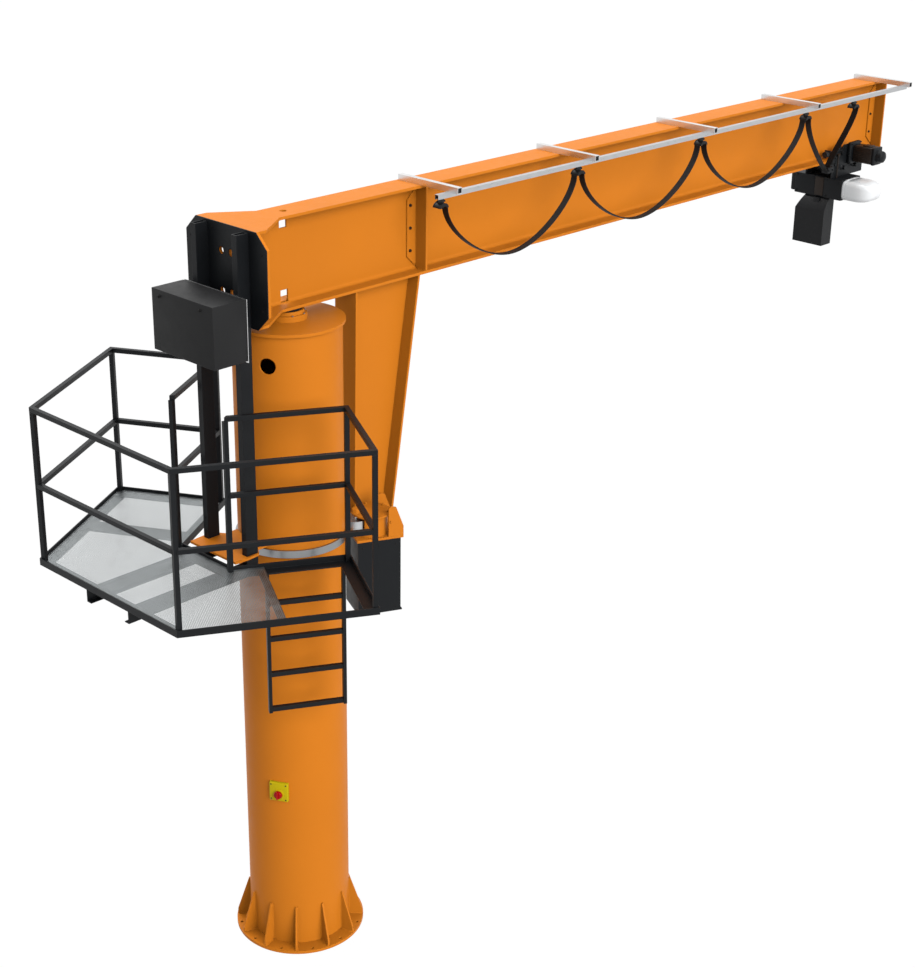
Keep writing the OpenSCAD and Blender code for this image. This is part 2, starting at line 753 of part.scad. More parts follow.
module roller_housings() color(orange) at_carriages() {
    difference() {
        along_z(foot_top, foot_top + drum_h) translate([drum_x, 0]) difference() {
            circle(d = drum_d);
            circle(d = drum_d - 2 * drum_wall);
        }
        translate([roller_x, 0, roller_z - 12]) cylinder(d = roller_d + 24, h = roller_h + 24);
        block([0, -collar_d / 2 - 4, foot_top - eps], [drum_x - drum_d / 2 + 40, collar_d / 2 + 4, foot_top + drum_h + eps]);
    }
    difference() {
        along_z(foot_top + drum_h, foot_top + drum_h + cover_t) translate([drum_x, 0]) circle(d = cover_d);
        translate([roller_x, 0, foot_top + drum_h - eps]) cylinder(d = axle_d + 2 * seat, h = cover_t + 2 * eps);
    }
}

module carriage_cheeks() color(orange) at_carriages() {
    for (y = [-carriage_half, carriage_half - cheek_t]) along_y(y, y + cheek_t) polygon([
        [carriage_out - cheek_l, foot_top], [carriage_out, foot_top], [carriage_out, foot_top + 68],
        [carriage_out - 51, foot_top + cheek_h - 9], [carriage_out - 85, foot_top + cheek_h],
        [carriage_out - cheek_l, foot_top + cheek_h - 12]]);
}

module guide_rollers() color(steel) at_carriages() translate([roller_x, 0, roller_z]) difference() {
    cylinder(d = roller_d, h = roller_h);
    translate([0, 0, -eps]) cylinder(d = axle_d + 2 * seat, h = roller_h + 2 * eps);
}

module roller_axles() color(steel) at_carriages() translate([roller_x, 0, 0]) {
    along_z(foot_top, foot_top + drum_h + cover_t) circle(d = axle_d);
    along_z(foot_top, roller_z - seat) circle(d = collar_d);
}

module drive_cover() color(black) rotate([0, 0, -carriage_az]) {
    y0 = -carriage_half;
    block([drive_x, y0, drive_top - drive_h], [drive_x + drive_l, y0 + drive_w, drive_top]);
    block([drive_x + drive_l - 40, y0, drive_top - drive_h], [drive_x + drive_l + drive_lip, y0 + drive_w,
        drive_top - drive_h + drive_lip]);
}

// ---- Rear rails, cabinet and bracket ----
module rear_rails() color(black) both_sides()
    along_z(ledge_z, rail_top) translate([rail_x, rail_pitch / 2 - rail_w / 2]) difference() {
        square([rail_depth, rail_w]);
        translate([rail_wall, rail_wall]) square([rail_depth - 2 * rail_wall, rail_w - 2 * rail_wall]);
    }

module cabinet() color([0.20, 0.20, 0.20]) block([cabinet_x, -cabinet_w / 2, cabinet_z],
    [cabinet_x + cabinet_depth, cabinet_w / 2, cabinet_z + cabinet_h]);

module cabinet_back() color(steel) block(
    [rail_x - cabinet_back_t, -cabinet_w / 2 - cabinet_back_lip, cabinet_z - cabinet_back_lip],
    [rail_x, cabinet_w / 2 + cabinet_back_lip, cabinet_z + cabinet_h]);

module rear_bracket() color(orange) along_z(bracket_z, bracket_z + bracket_t) difference() {
    polygon([
        [rail_x - bracket_tail, -bracket_half], [rail_x, -bracket_half - 8], [backing_x, -bracket_half],
        [backing_x + 45, -bracket_nose], [0, -bracket_nose], [0, bracket_nose],
        [backing_x + 45, bracket_nose], [backing_x, bracket_half], [rail_x, bracket_half + 8],
        [rail_x - bracket_tail, bracket_half]]);
    circle(r = column_r + swing, $fn = 144);
    translate([0, -column_r]) square([column_r, column_d]);
    for (s = [-1, 1]) translate([rail_x - seat, s * rail_pitch / 2 - rail_w / 2 - seat])
        square([rail_depth + 2 * seat, rail_w + 2 * seat]);
}

// ---- Platform ----
module platform_beams() color(black) both_sides()
    along_x(-deck_back + angle_t, backing_x) translate([rail_pitch / 2 - deck_beam_w / 2, ledge_z - deck_beam_h])
        difference() {
            square([deck_beam_w, deck_beam_h]);
            translate([-eps, deck_beam_t]) square([deck_beam_w - deck_beam_t + eps, deck_beam_h - 2 * deck_beam_t]);
        }

module platform_frame() color(black) {
    for (i = [0 : len(deck_edge) - 1]) {
        loop_run(deck_edge, i, 0, ledge_w, ledge_z, ledge_z + angle_t);
        loop_run(deck_edge, i, 0, angle_t, ledge_z, ledge_z + lip_h);
    }
    hatch_bar = [wing_point(hatch_x - ledge_w / 2, ledge_w + seat), wing_point(hatch_x, ledge_w + seat),
        wing_point(hatch_x, deck_wing_depth - ledge_w - seat),
        wing_point(hatch_x - ledge_w / 2, deck_wing_depth - ledge_w - seat)];
    along_z(ledge_z, ledge_z + angle_t) polygon(hatch_bar);
}

module platform_floor() color(steel) along_z(ledge_z + angle_t, floor_z) difference() {
    inner = inset_loop(deck_edge, floor_inset);
    near_front = [wing_point(hatch_x, floor_inset), wing_point(hatch_x, deck_wing_depth - floor_inset)];
    split = [0, 2];
    union() {
        polygon([inner[0], near_front[0], near_front[1], inner[3]]);
        polygon([inner[0] + split, inner[3] + split, inner[4] - split, inner[7] - split]);
        polygon([for (i = [4 : 7]) inner[i]]);
    }
    post_sections(tube_w + 4);
}

// ---- Handrail and ladder ----
// The posts stand at every corner; the run across the column side stays open for the cabinet
module post_sections(side) for (i = [0 : len(post_line) - 1])
    translate(post_line[i]) rotate(half_way(deck_edge, i) - 45) square(side, center = true);
module handrail_posts() color(black) along_z(ledge_z + angle_t, handrail_top_z - tube_w) post_sections(tube_w);

handrail_runs = [0, 1, 2, 4, 5, 6, 7];
module handrail_top() color(black) for (i = handrail_runs)
    loop_run(deck_edge, i, angle_t, angle_t + tube_w, handrail_top_z - tube_w, handrail_top_z);

module mid_run(a, b) {
    side = turn_left(unit(b - a)) * tube_w / 2;
    polygon([a - side, b - side, b + side, a + side]);
}
module handrail_mid() color(black)
    along_z(floor_z + mid_rail_h - tube_w / 2, floor_z + mid_rail_h + tube_w / 2) difference() {
        for (i = handrail_runs) mid_run(post_line[i], post_line[(i + 1) % len(post_line)]);
        post_sections(tube_w + 2 * seat);
    }

module ladder_stiles() color(black) for (s = [ladder_near, ladder_far - stile_t])
    along_z(ladder_foot, ledge_z) polygon([
        wing_point(s, deck_wing_depth), wing_point(s + stile_t, deck_wing_depth),
        wing_point(s + stile_t, deck_wing_depth - stile_depth), wing_point(s, deck_wing_depth - stile_depth)]);

module ladder_rungs() color(black) for (k = [0 : rung_count - 1])
    along_z(ladder_foot + 7 + k * rung_pitch, ladder_foot + 7 + rung_w + k * rung_pitch) polygon([
        wing_point(ladder_near + stile_t, deck_wing_depth - 5),
        wing_point(ladder_far - stile_t, deck_wing_depth - 5),
        wing_point(ladder_far - stile_t, deck_wing_depth - 5 - rung_w),
        wing_point(ladder_near + stile_t, deck_wing_depth - 5 - rung_w)]);

// ---- Festoon line ----
module festoon_arms() color(steel) for (k = [0 : arm_count - 1]) translate([arm_x + k * arm_pitch, 0, 0]) {
    along_y(-arm_out, arm_in) difference() {
        translate([-arm_w / 2, beam_top]) square(arm_w);
        translate([-arm_w / 2 + arm_wall, beam_top + arm_wall]) square(arm_w - 2 * arm_wall);
    }
    block([-arm_w / 2, -festoon_y - festoon_w, festoon_top], [arm_w / 2, -festoon_y + festoon_w, beam_top]);
}

module festoon_rail() color(steel) along_x(festoon_start, festoon_start + festoon_l)
    translate([-festoon_y, festoon_foot]) difference() {
        translate([-festoon_w / 2, 0]) square(festoon_w);
        translate([-festoon_w / 2 + festoon_wall, festoon_wall]) square(festoon_w - 2 * festoon_wall);
        translate([-festoon_slot / 2, -eps]) square([festoon_slot, festoon_wall + 2 * eps]);
    }

// A runner in the rail, its neck and the arch that the cable lies over
module cable_saddle(x) color(black) translate([x, -festoon_y, 0]) {
    runner = festoon_foot + festoon_wall + run;
    block([-28, -festoon_w / 2 + festoon_wall + 2, runner], [28, festoon_w / 2 - festoon_wall - 2, runner + 16]);
    block([-20, -4, saddle_z + saddle_r - 4], [20, 4, runner + eps]);
    along_y(-saddle_w / 2, saddle_w / 2) translate([0, saddle_z]) intersection() {
        difference() {
            circle(saddle_r);
            circle(saddle_r - 18);
        }
        translate([-saddle_r, 0]) square([2 * saddle_r, saddle_r]);
    }
}
module cable_end_clamp() cable_saddle(clamp_x);
module cable_trolley_2() cable_saddle(saddle_places[0]);
module cable_trolley_3() cable_saddle(saddle_places[1]);
module cable_trolley_4() cable_saddle(saddle_places[2]);
module cable_trolley_5() cable_saddle(saddle_places[3]);
module cable_loop_1() hanging_loop(clamp_x + saddle_end, saddle_places[0] - saddle_end);
module cable_loop_2() hanging_loop(saddle_places[0] + saddle_end, saddle_places[1] - saddle_end);
module cable_loop_3() hanging_loop(saddle_places[1] + saddle_end, saddle_places[2] - saddle_end);
module cable_loop_4() color(black) cable(route_4, [0, 0, -1], [1, 0, 0]);
module cable_loop_5() color(black) cable(route_5, [0, 0, -1], [0, 0, -1]);

// ---- Trolley ----
module trolley_plates() color(black) both_sides() difference() {
    along_y(plate_y, plate_y + plate_t) translate([trolley_x, 0]) polygon([
        [-plate_l / 2, plate_z0], [plate_l / 2, plate_z0], [plate_l / 2, plate_z0 + plate_drop],
        [plate_l / 2 - 100, plate_z1], [-plate_l / 2 + 160, plate_z1],
        [-plate_l / 2 + 120, plate_z1 - 35], [-plate_l / 2, plate_z1 - 35]]);
    for (x = [-wheel_pitch / 2, wheel_pitch / 2]) translate([trolley_x + x, plate_y - eps, wheel_z])
        rotate([-90, 0, 0]) cylinder(d = wheel_axle_d + 2 * seat, h = plate_t + 2 * eps);
    for (x = [-bar_pitch / 2, bar_pitch / 2]) translate([trolley_x + x, plate_y - eps, bar_z])
        rotate([-90, 0, 0]) cylinder(d = bar_d + 2 * seat, h = plate_t + 2 * eps);
}

module trolley_wheels() color(steel) both_sides() for (x = [-wheel_pitch / 2, wheel_pitch / 2])
    translate([trolley_x + x, 0, wheel_z]) rotate([-90, 0, 0]) {
        translate([0, 0, wheel_y - wheel_w]) cylinder(d = wheel_d, h = wheel_w);
        translate([0, 0, wheel_y]) cylinder(d = wheel_axle_d, h = plate_y + plate_t - seat - wheel_y);
    }

module trolley_bars() color(steel) for (x = [-bar_pitch / 2, bar_pitch / 2])
    translate([trolley_x + x, 0, bar_z]) rotate([90, 0, 0])
        cylinder(d = bar_d, h = 2 * (plate_y + plate_t + 18), center = true);

module travel_motor() color([0.17, 0.13, 0.11]) {
    y0 = -plate_y - plate_t;
    x0 = trolley_x + 10;
    block([x0, y0 - travel_l, beam_z - 20], [x0 + travel_w, y0, beam_z - 20 + travel_h]);
    block([x0 - gear_step, y0 - gear_w, beam_z - 20 - gear_step], [x0 + travel_w, y0, beam_z - 20 + travel_h + gear_step]);
    translate([x0 + travel_w / 2, y0 - travel_l, beam_z - 20 + travel_h / 2]) rotate([90, 0, 0])
        cylinder(d = 100, h = 85);
}

module trolley_buffers() color(black) both_sides() {
    block([trolley_x - plate_l / 2, 40, wheel_z - 30], [trolley_x - plate_l / 2 + 12, plate_y, wheel_z + 24]);
    translate([trolley_x - plate_l / 2, 68, wheel_z - 8]) rotate([0, -90, 0]) cylinder(d = buffer_d, h = 40);
}

// ---- Hoist ----
module hoist_hanger() color(black) difference() {
    block([trolley_x - bar_pitch / 2 - 40, -45, hoist_top], [trolley_x + bar_pitch / 2 + 40, 45, bar_z + 30]);
    for (x = [-bar_pitch / 2, bar_pitch / 2]) translate([trolley_x + x, 0, bar_z]) rotate([90, 0, 0])
        cylinder(d = bar_d + 2 * seat, h = 100, center = true);
}

module hoist_body() color(black) {
    block([hoist_x, -hoist_w / 2, hoist_z], [hoist_x + hoist_l, hoist_w / 2, hoist_top]);
}

module hoist_motor() color([0.9, 0.9, 0.9]) {
    translate([hoist_x + hoist_l / 2, -hoist_w / 2, hoist_z + hoist_h / 2]) rotate([90, 0, 0])
        rotate_extrude() polygon(concat([[0, 0], [motor_d / 2, 0]], bezier([motor_d / 2, motor_l * 0.42],
            [motor_d / 2, motor_l * 0.80], [motor_d * 0.36, motor_l], [0, motor_l])));
    translate([hoist_x + 14, hoist_w / 2, hoist_z + 10])
        cube([hoist_l - 28, cover_l, hoist_h - 20]);
}

module chain_container() color([0.17, 0.17, 0.18]) intersection() {
    translate([0, bin_y, hoist_z]) along_y(0, bin_w) polygon([
        [bin_x, -bin_h], [bin_x + bin_l, -bin_h], [bin_x + bin_l, 0], [bin_x + bin_lean, 0], [bin_x, -bin_slope]]);
    translate([0, bin_y, hoist_z]) along_x(bin_x, bin_x + bin_l) polygon([
        [0, -bin_h], [bin_w, -bin_h], [bin_w, -bin_slope], [bin_w - bin_corner, 0], [0, 0]]);
}

module cable_clamp() color(black) {
    block([clamp_at[0] - 25, clamp_at[1] - 30, clamp_at[2] - 25],
        [clamp_at[0] + 60, -plate_y - plate_t, clamp_at[2] + 25]);
    block([clamp_at[0] + 60, -plate_y - plate_t - 10, clamp_at[2] - 20],
        [trolley_x - plate_l / 2, -plate_y, clamp_at[2] + 20]);
}

// One round link lying in the plane across the boom
module chain_link() {
    r = wire_d * 1.15;
    straight = link_l - 2 * (r - wire_d / 2);
    for (s = [-1, 1]) {
        translate([0, s * r, 0]) cylinder(d = wire_d, h = straight, center = true);
        translate([0, 0, s * straight / 2]) rotate([s * 90, 0, 90])
            rotate_extrude(angle = 180) translate([r, 0]) circle(d = wire_d);
    }
}
module lift_chain() color(steel) for (k = [0 : link_count - 1])
    translate([chain_x, 0, chain_z - k * link_step]) rotate([0, 0, 90 * (k % 2)]) chain_link();

module hook() color(black) translate([chain_x, 0, block_z]) {
    block([-28, -34, -90], [28, 34, 0]);
    translate([0, 0, -120]) cylinder(d = hook_d, h = 31);
    translate([0, 0, -120 - hook_r]) rotate([90, 0, 90]) rotate([0, 0, 90])
        rotate_extrude(angle = 250) translate([hook_r, 0]) circle(d = hook_d);
}

base_plate();
base_gussets();
column_tube();
slew_ring();
column_cap();
pivot_flange();
main_switch_box();
switch_knob();
jib_beam();
end_plate();
rail_mount_plate();
wing_plates();
web_stiffeners();
web_doublers();
leg_web();
leg_flanges();
foot_plate();
pivot_bearing();
roller_housings();
carriage_cheeks();
guide_rollers();
roller_axles();
drive_cover();
rear_rails();
cabinet();
cabinet_back();
rear_bracket();
platform_beams();
platform_frame();
platform_floor();
handrail_posts();
handrail_top();
handrail_mid();
ladder_stiles();
ladder_rungs();
festoon_arms();
festoon_rail();
cable_end_clamp();
cable_trolley_2();
cable_trolley_3();
cable_trolley_4();
cable_trolley_5();
cable_loop_1();
cable_loop_2();
cable_loop_3();
cable_loop_4();
cable_loop_5();
trolley_plates();
trolley_wheels();
trolley_bars();
travel_motor();
trolley_buffers();
hoist_hanger();
hoist_body();
hoist_motor();
chain_container();
cable_clamp();
lift_chain();
hook();
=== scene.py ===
import json
import math

import bmesh
import bpy
from mathutils import Matrix, Vector


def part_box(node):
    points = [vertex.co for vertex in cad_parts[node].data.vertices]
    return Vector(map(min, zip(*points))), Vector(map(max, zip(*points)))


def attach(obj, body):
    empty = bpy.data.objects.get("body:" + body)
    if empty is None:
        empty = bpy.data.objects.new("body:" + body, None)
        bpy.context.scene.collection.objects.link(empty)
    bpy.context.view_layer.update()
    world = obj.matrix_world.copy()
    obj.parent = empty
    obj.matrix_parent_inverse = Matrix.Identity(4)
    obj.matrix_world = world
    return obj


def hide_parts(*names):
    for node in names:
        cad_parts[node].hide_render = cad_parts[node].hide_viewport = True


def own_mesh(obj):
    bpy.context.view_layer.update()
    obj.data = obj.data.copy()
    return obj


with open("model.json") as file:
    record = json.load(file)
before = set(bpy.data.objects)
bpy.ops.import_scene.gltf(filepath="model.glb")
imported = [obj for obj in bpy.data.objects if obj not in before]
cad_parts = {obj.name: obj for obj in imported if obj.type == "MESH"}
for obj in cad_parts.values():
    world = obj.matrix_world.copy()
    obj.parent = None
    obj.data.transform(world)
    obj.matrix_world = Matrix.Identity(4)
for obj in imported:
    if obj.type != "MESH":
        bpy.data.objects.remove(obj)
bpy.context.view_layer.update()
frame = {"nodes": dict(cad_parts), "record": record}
scene = bpy.context.scene
print("frame loaded:", len(frame["nodes"]), "nodes")

# camera, floor and light
cameraSettings = {
    "place": (-7.0868, -8.2331, 7.9608), "turn": 43.551, "down": 22.898, "roll": 0.905, "lens": 71.13,
}
lightSettings = {
    "ambient": 0.50,
    "ambientTint": (0.97, 0.985, 1, 1),
    "key": {"toward": -98, "height": 24, "strength": 2.42, "softness": 45},
    "sky": {"toward": 80, "height": 60, "strength": 2.15, "softness": 60},
    "floorSize": 200,
    "floorDrop": 0.001,
    "floorTone": 0.28,
    "backdrop": 1.06,
    "backdropShare": 0.93,
}


def makeCamera(s):
    data = bpy.data.cameras.new("photographer")
    data.sensor_fit = "HORIZONTAL"
    data.lens = s["lens"]
    data.clip_end = 500
    camera = bpy.data.objects.new("photographer", data)
    scene.collection.objects.link(camera)
    turn, down, roll = (math.radians(s[k]) for k in ("turn", "down", "roll"))
    ahead = Vector((math.cos(down) * math.cos(turn), math.cos(down) * math.sin(turn), -math.sin(down)))
    right = Vector((math.sin(turn), -math.cos(turn), 0))
    up = right.cross(ahead)
    right = math.cos(roll) * right + math.sin(roll) * up
    up = right.cross(ahead)
    camera.matrix_world = Matrix.Translation(s["place"]) @ Matrix((right, up, -ahead)).transposed().to_4x4()
    scene.camera = camera


def makeSun(name, s):
    data = bpy.data.lights.new(name, "SUN")
    data.energy = s["strength"]
    data.angle = math.radians(s["softness"])
    lamp = bpy.data.objects.new(name, data)
    scene.collection.objects.link(lamp)
    toward, height = math.radians(s["toward"]), math.radians(s["height"])
    level = math.cos(height)
    source = Vector((level * math.cos(toward), level * math.sin(toward), math.sin(height)))
    lamp.rotation_euler = source.to_track_quat("Z", "Y").to_euler()


def wire(tree, start, end):
    tree.links.new(start, end)


def sums(tree, operation, a, b):
    node = tree.nodes.new("ShaderNodeMath")
    node.operation = operation
    for socket, value in zip(node.inputs, (a, b)):
        if isinstance(value, (int, float)):
            socket.default_value = value
        else:
            wire(tree, value, socket)
    return node.outputs[0]


def seenShare(tree):  # one where the surface is looked at, straight on, in a reflection or through glass
    path = tree.nodes.new("ShaderNodeLightPath")
    seen = path.outputs["Is Camera Ray"]
    for kind in ("Is Glossy Ray", "Is Transmission Ray"):
        seen = sums(tree, "MAXIMUM", seen, path.outputs[kind])
    return seen


def mixTwo(tree, share, first, second, out):
    mix = tree.nodes.new("ShaderNodeMixShader")
    for socket, value in zip(mix.inputs, (share, first.outputs[0], second.outputs[0])):
        wire(tree, value, socket)
    wire(tree, mix.outputs[0], out.inputs["Surface"])


def makeWorld(s):
    world = bpy.data.worlds.new("studio")
    world.use_nodes = True
    scene.world = world
    tree = world.node_tree
    tree.nodes.clear()
    out = tree.nodes.new("ShaderNodeOutputWorld")
    soft = tree.nodes.new("ShaderNodeBackground")
    soft.inputs["Color"].default_value = s["ambientTint"]
    soft.inputs["Strength"].default_value = s["ambient"]
    white = tree.nodes.new("ShaderNodeBackground")
    white.inputs["Color"].default_value = (1, 1, 1, 1)
    white.inputs["Strength"].default_value = 1.0
    mixTwo(tree, seenShare(tree), soft, white, out)


def makeFloor(s):
    half, z = s["floorSize"] / 2, -s["floorDrop"]
    data = bpy.data.meshes.new("studioFloor")
    corners = [(-half, -half, z), (half, -half, z), (half, half, z), (-half, half, z)]
    data.from_pydata(corners, [], [(0, 1, 2, 3)])
    floor = bpy.data.objects.new("studioFloor", data)
    scene.collection.objects.link(floor)
    material = bpy.data.materials.new("studioFloor")
    material.use_nodes = True
    tree = material.node_tree
    tree.nodes.clear()
    out = tree.nodes.new("ShaderNodeOutputMaterial")
    matt = tree.nodes.new("ShaderNodeBsdfDiffuse")
    matt.inputs["Color"].default_value = (s["floorTone"],) * 3 + (1,)
    glow = tree.nodes.new("ShaderNodeEmission")
    glow.inputs["Strength"].default_value = s["backdrop"]
    share = sums(tree, "MULTIPLY", seenShare(tree), s["backdropShare"])
    mixTwo(tree, share, matt, glow, out)
    data.materials.append(material)


makeCamera(cameraSettings)
makeWorld(lightSettings)
makeSun("windowLight", lightSettings["key"])
makeSun("ceilingLight", lightSettings["sky"])
makeFloor(lightSettings)
scene.view_settings.view_transform = "Standard"
print("camera, floor and light set")


# shader groups
def startGroup(name, inputs, outputs=(("Colour", "Color"), ("Roughness", "Float"), ("Height", "Float"))):
    group = bpy.data.node_groups.new(name, "ShaderNodeTree")
    for label, kind, value in inputs:
        socket = group.interface.new_socket(name=label, in_out="INPUT", socket_type="NodeSocket" + kind)
        socket.default_value = value
    for label, kind in outputs:
        group.interface.new_socket(name=label, in_out="OUTPUT", socket_type="NodeSocket" + kind)
    return group, group.nodes.new("NodeGroupInput"), group.nodes.new("NodeGroupOutput")


def noise(tree, where, scale, detail, roughness):
    node = tree.nodes.new("ShaderNodeTexNoise")
    node.inputs["Scale"].default_value = scale
    node.inputs["Detail"].default_value = detail
    node.inputs["Roughness"].default_value = roughness
    wire(tree, where, node.inputs["Vector"])
    return node.outputs["Fac"]


def remap(tree, value, low, high, newLow, newHigh):
    node = tree.nodes.new("ShaderNodeMapRange")
    node.inputs["From Min"].default_value = low
    node.inputs["From Max"].default_value = high
    node.inputs["To Min"].default_value = newLow
    node.inputs["To Max"].default_value = newHigh
    wire(tree, value, node.inputs["Value"])
    return node.outputs["Result"]


def blendColours(tree, share, a, b, kind="MIX"):
    node = tree.nodes.new("ShaderNodeMix")
    node.data_type = "RGBA"
    node.blend_type = kind
    node.clamp_result = False
    sockets = (node.inputs[0], node.inputs[6], node.inputs[7])
    for socket, value in zip(sockets, (share, a, b)):
        if isinstance(value, (int, float, tuple)):
            socket.default_value = value
        else:
            wire(tree, value, socket)
    return node.outputs[2]


def here(tree):
    return tree.nodes.new("ShaderNodeTexCoord").outputs["Object"]


def makePaintFilm():
    group, given, gives = startGroup(
        "paintFilm",
        [("Colour", "Color", (0.8, 0.8, 0.8, 1)), ("Mottle", "Float", 0.05), ("Dust", "Float", 0.1),
         ("Roughness", "Float", 0.4), ("Orange peel", "Float", 0.3)])
    where = here(group)
    cloud = noise(group, where, 1.3, 4, 0.55)
    fine = noise(group, where, 19, 5, 0.6)
    peel = noise(group, where, 420, 2, 0.5)
    shade = sums(group, "MULTIPLY", remap(group, cloud, 0.3, 0.7, -1, 1), given.outputs["Mottle"])
    shade = sums(group, "ADD", shade, 1.0)
    toned = blendColours(group, 1.0, given.outputs["Colour"], shade, "MULTIPLY")
    facing = group.nodes.new("ShaderNodeSeparateXYZ")
    wire(group, group.nodes.new("ShaderNodeNewGeometry").outputs["Normal"], facing.inputs[0])
    upward = remap(group, facing.outputs["Z"], 0.75, 1.0, 0, 1)
    patchy = sums(group, "MULTIPLY", upward, remap(group, fine, 0.35, 0.7, 0.2, 1))
    settled = sums(group, "MULTIPLY", patchy, given.outputs["Dust"])
    dustColour = (0.62, 0.56, 0.48, 1)
    rough = sums(group, "ADD", given.outputs["Roughness"], sums(group, "MULTIPLY", settled, 0.5))
    rough = sums(group, "ADD", rough, remap(group, fine, 0.3, 0.7, -0.04, 0.04))
    wire(group, blendColours(group, settled, toned, dustColour), gives.inputs["Colour"])
    wire(group, rough, gives.inputs["Roughness"])
    wire(group, sums(group, "MULTIPLY", peel, given.outputs["Orange peel"]), gives.inputs["Height"])
    return group


# patchy edge colour on bends found by the bevel: real wear to bare metal on the dark and pale paints, and on
# the orange paint a brighter orange, a painted highlight along the edges
def makeWornOrLitEdge():
    group, given, gives = startGroup(
        "wornOrLitEdge",
        [("Colour", "Color", (0.8, 0.8, 0.8, 1)), ("Bare", "Color", (0.5, 0.5, 0.5, 1)),
         ("Amount", "Float", 0.5), ("Radius", "Float", 0.004)],
        [("Colour", "Color"), ("Mask", "Float"), ("Normal", "Vector")])
    bevel = group.nodes.new("ShaderNodeBevel")
    bevel.samples = 4
    wire(group, given.outputs["Radius"], bevel.inputs["Radius"])
    flat = group.nodes.new("ShaderNodeNewGeometry")
    dot = group.nodes.new("ShaderNodeVectorMath")
    dot.operation = "DOT_PRODUCT"
    wire(group, bevel.outputs["Normal"], dot.inputs[0])
    wire(group, flat.outputs["Normal"], dot.inputs[1])
    bend = remap(group, dot.outputs["Value"], 0.98, 0.72, 0, 1)
    patchy = remap(group, noise(group, here(group), 26, 6, 0.65), 0.46, 0.62, 0, 1)
    mask = sums(group, "MULTIPLY", sums(group, "MULTIPLY", bend, patchy), given.outputs["Amount"])
    wornOrLit = blendColours(group, mask, given.outputs["Colour"], given.outputs["Bare"])
    wire(group, wornOrLit, gives.inputs["Colour"])
    wire(group, mask, gives.inputs["Mask"])
    wire(group, bevel.outputs["Normal"], gives.inputs["Normal"])
    return group


def makeMetalGrain():
    group, given, gives = startGroup(
        "metalGrain",
        [("Colour", "Color", (0.6, 0.6, 0.6, 1)), ("Stretch", "Vector", (1, 1, 60)),
         ("Roughness", "Float", 0.35), ("Spangle", "Float", 0.0)])
    where = here(group)
    scaled = group.nodes.new("ShaderNodeVectorMath")
    scaled.operation = "MULTIPLY"
    wire(group, where, scaled.inputs[0])
    wire(group, given.outputs["Stretch"], scaled.inputs[1])
    streak = noise(group, scaled.outputs[0], 14, 4, 0.6)
    cell = group.nodes.new("ShaderNodeTexVoronoi")
    cell.inputs["Scale"].default_value = 55
    wire(group, where, cell.inputs["Vector"])
    flake = group.nodes.new("ShaderNodeSeparateXYZ")
    wire(group, cell.outputs["Color"], flake.inputs[0])
    spangle = sums(group, "MULTIPLY", remap(group, flake.outputs["X"], 0, 1, -1, 1), given.outputs["Spangle"])
    tone = sums(group, "ADD", sums(group, "ADD", remap(group, streak, 0.3, 0.7, -0.06, 0.06), spangle), 1.0)
    wire(group, blendColours(group, 1.0, given.outputs["Colour"], tone, "MULTIPLY"), gives.inputs["Colour"])
    rough = sums(group, "ADD", given.outputs["Roughness"], remap(group, streak, 0.3, 0.7, -0.08, 0.08))
    wire(group, sums(group, "ADD", rough, spangle), gives.inputs["Roughness"])
    wire(group, streak, gives.inputs["Height"])
    return group


def makeMouldedSkin():
    group, given, gives = startGroup(
        "mouldedSkin",
        [("Colour", "Color", (0.1, 0.1, 0.1, 1)), ("Scale", "Float", 900.0), ("Roughness", "Float", 0.5),
         ("Scuff", "Float", 0.1)])
    where = here(group)
    grain = group.nodes.new("ShaderNodeTexVoronoi")
    wire(group, where, grain.inputs["Vector"])
    wire(group, given.outputs["Scale"], grain.inputs["Scale"])
    scuff = remap(group, noise(group, where, 31, 6, 0.7), 0.5, 0.75, 0, 1)
    scuffed = sums(group, "MULTIPLY", scuff, given.outputs["Scuff"])
    scuffColour = (0.35, 0.34, 0.33, 1)
    rough = sums(group, "ADD", given.outputs["Roughness"], sums(group, "MULTIPLY", scuffed, 0.6))
    wire(group, blendColours(group, scuffed, given.outputs["Colour"], scuffColour), gives.inputs["Colour"])
    wire(group, rough, gives.inputs["Roughness"])
    wire(group, grain.outputs["Distance"], gives.inputs["Height"])
    return group


paintFilm, wornOrLitEdge = makePaintFilm(), makeWornOrLitEdge()
metalGrain, mouldedSkin = makeMetalGrain(), makeMouldedSkin()
print("shader groups built")


# materials
def startMaterial(name, colour, metallic=0.0, coat=0.0, specular=0.5):
    material = bpy.data.materials.new(name)
    material.use_nodes = True
    material.diffuse_color = colour + (1,)
    shader = material.node_tree.nodes["Principled BSDF"]
    shader.inputs["Base Color"].default_value = colour + (1,)
    shader.inputs["Metallic"].default_value = metallic
    shader.inputs["Coat Weight"].default_value = coat
    shader.inputs["Coat Roughness"].default_value = 0.12
    shader.inputs["Specular IOR Level"].default_value = specular
    return material, material.node_tree, shader


def useGroup(tree, group, **values):  # an underscore in a value's name stands for a space
    node = tree.nodes.new("ShaderNodeGroup")
    node.node_tree = group
    for label, value in values.items():
        node.inputs[label.replace("_", " ")].default_value = value
    return node


def addBump(tree, shader, height, strength, distance, normal=None):
    bump = tree.nodes.new("ShaderNodeBump")
    bump.inputs["Strength"].default_value = strength
    bump.inputs["Distance"].default_value = distance
    wire(tree, height, bump.inputs["Height"])
    if normal is not None:
        wire(tree, normal, bump.inputs["Normal"])
    wire(tree, bump.outputs["Normal"], shader.inputs["Normal"])


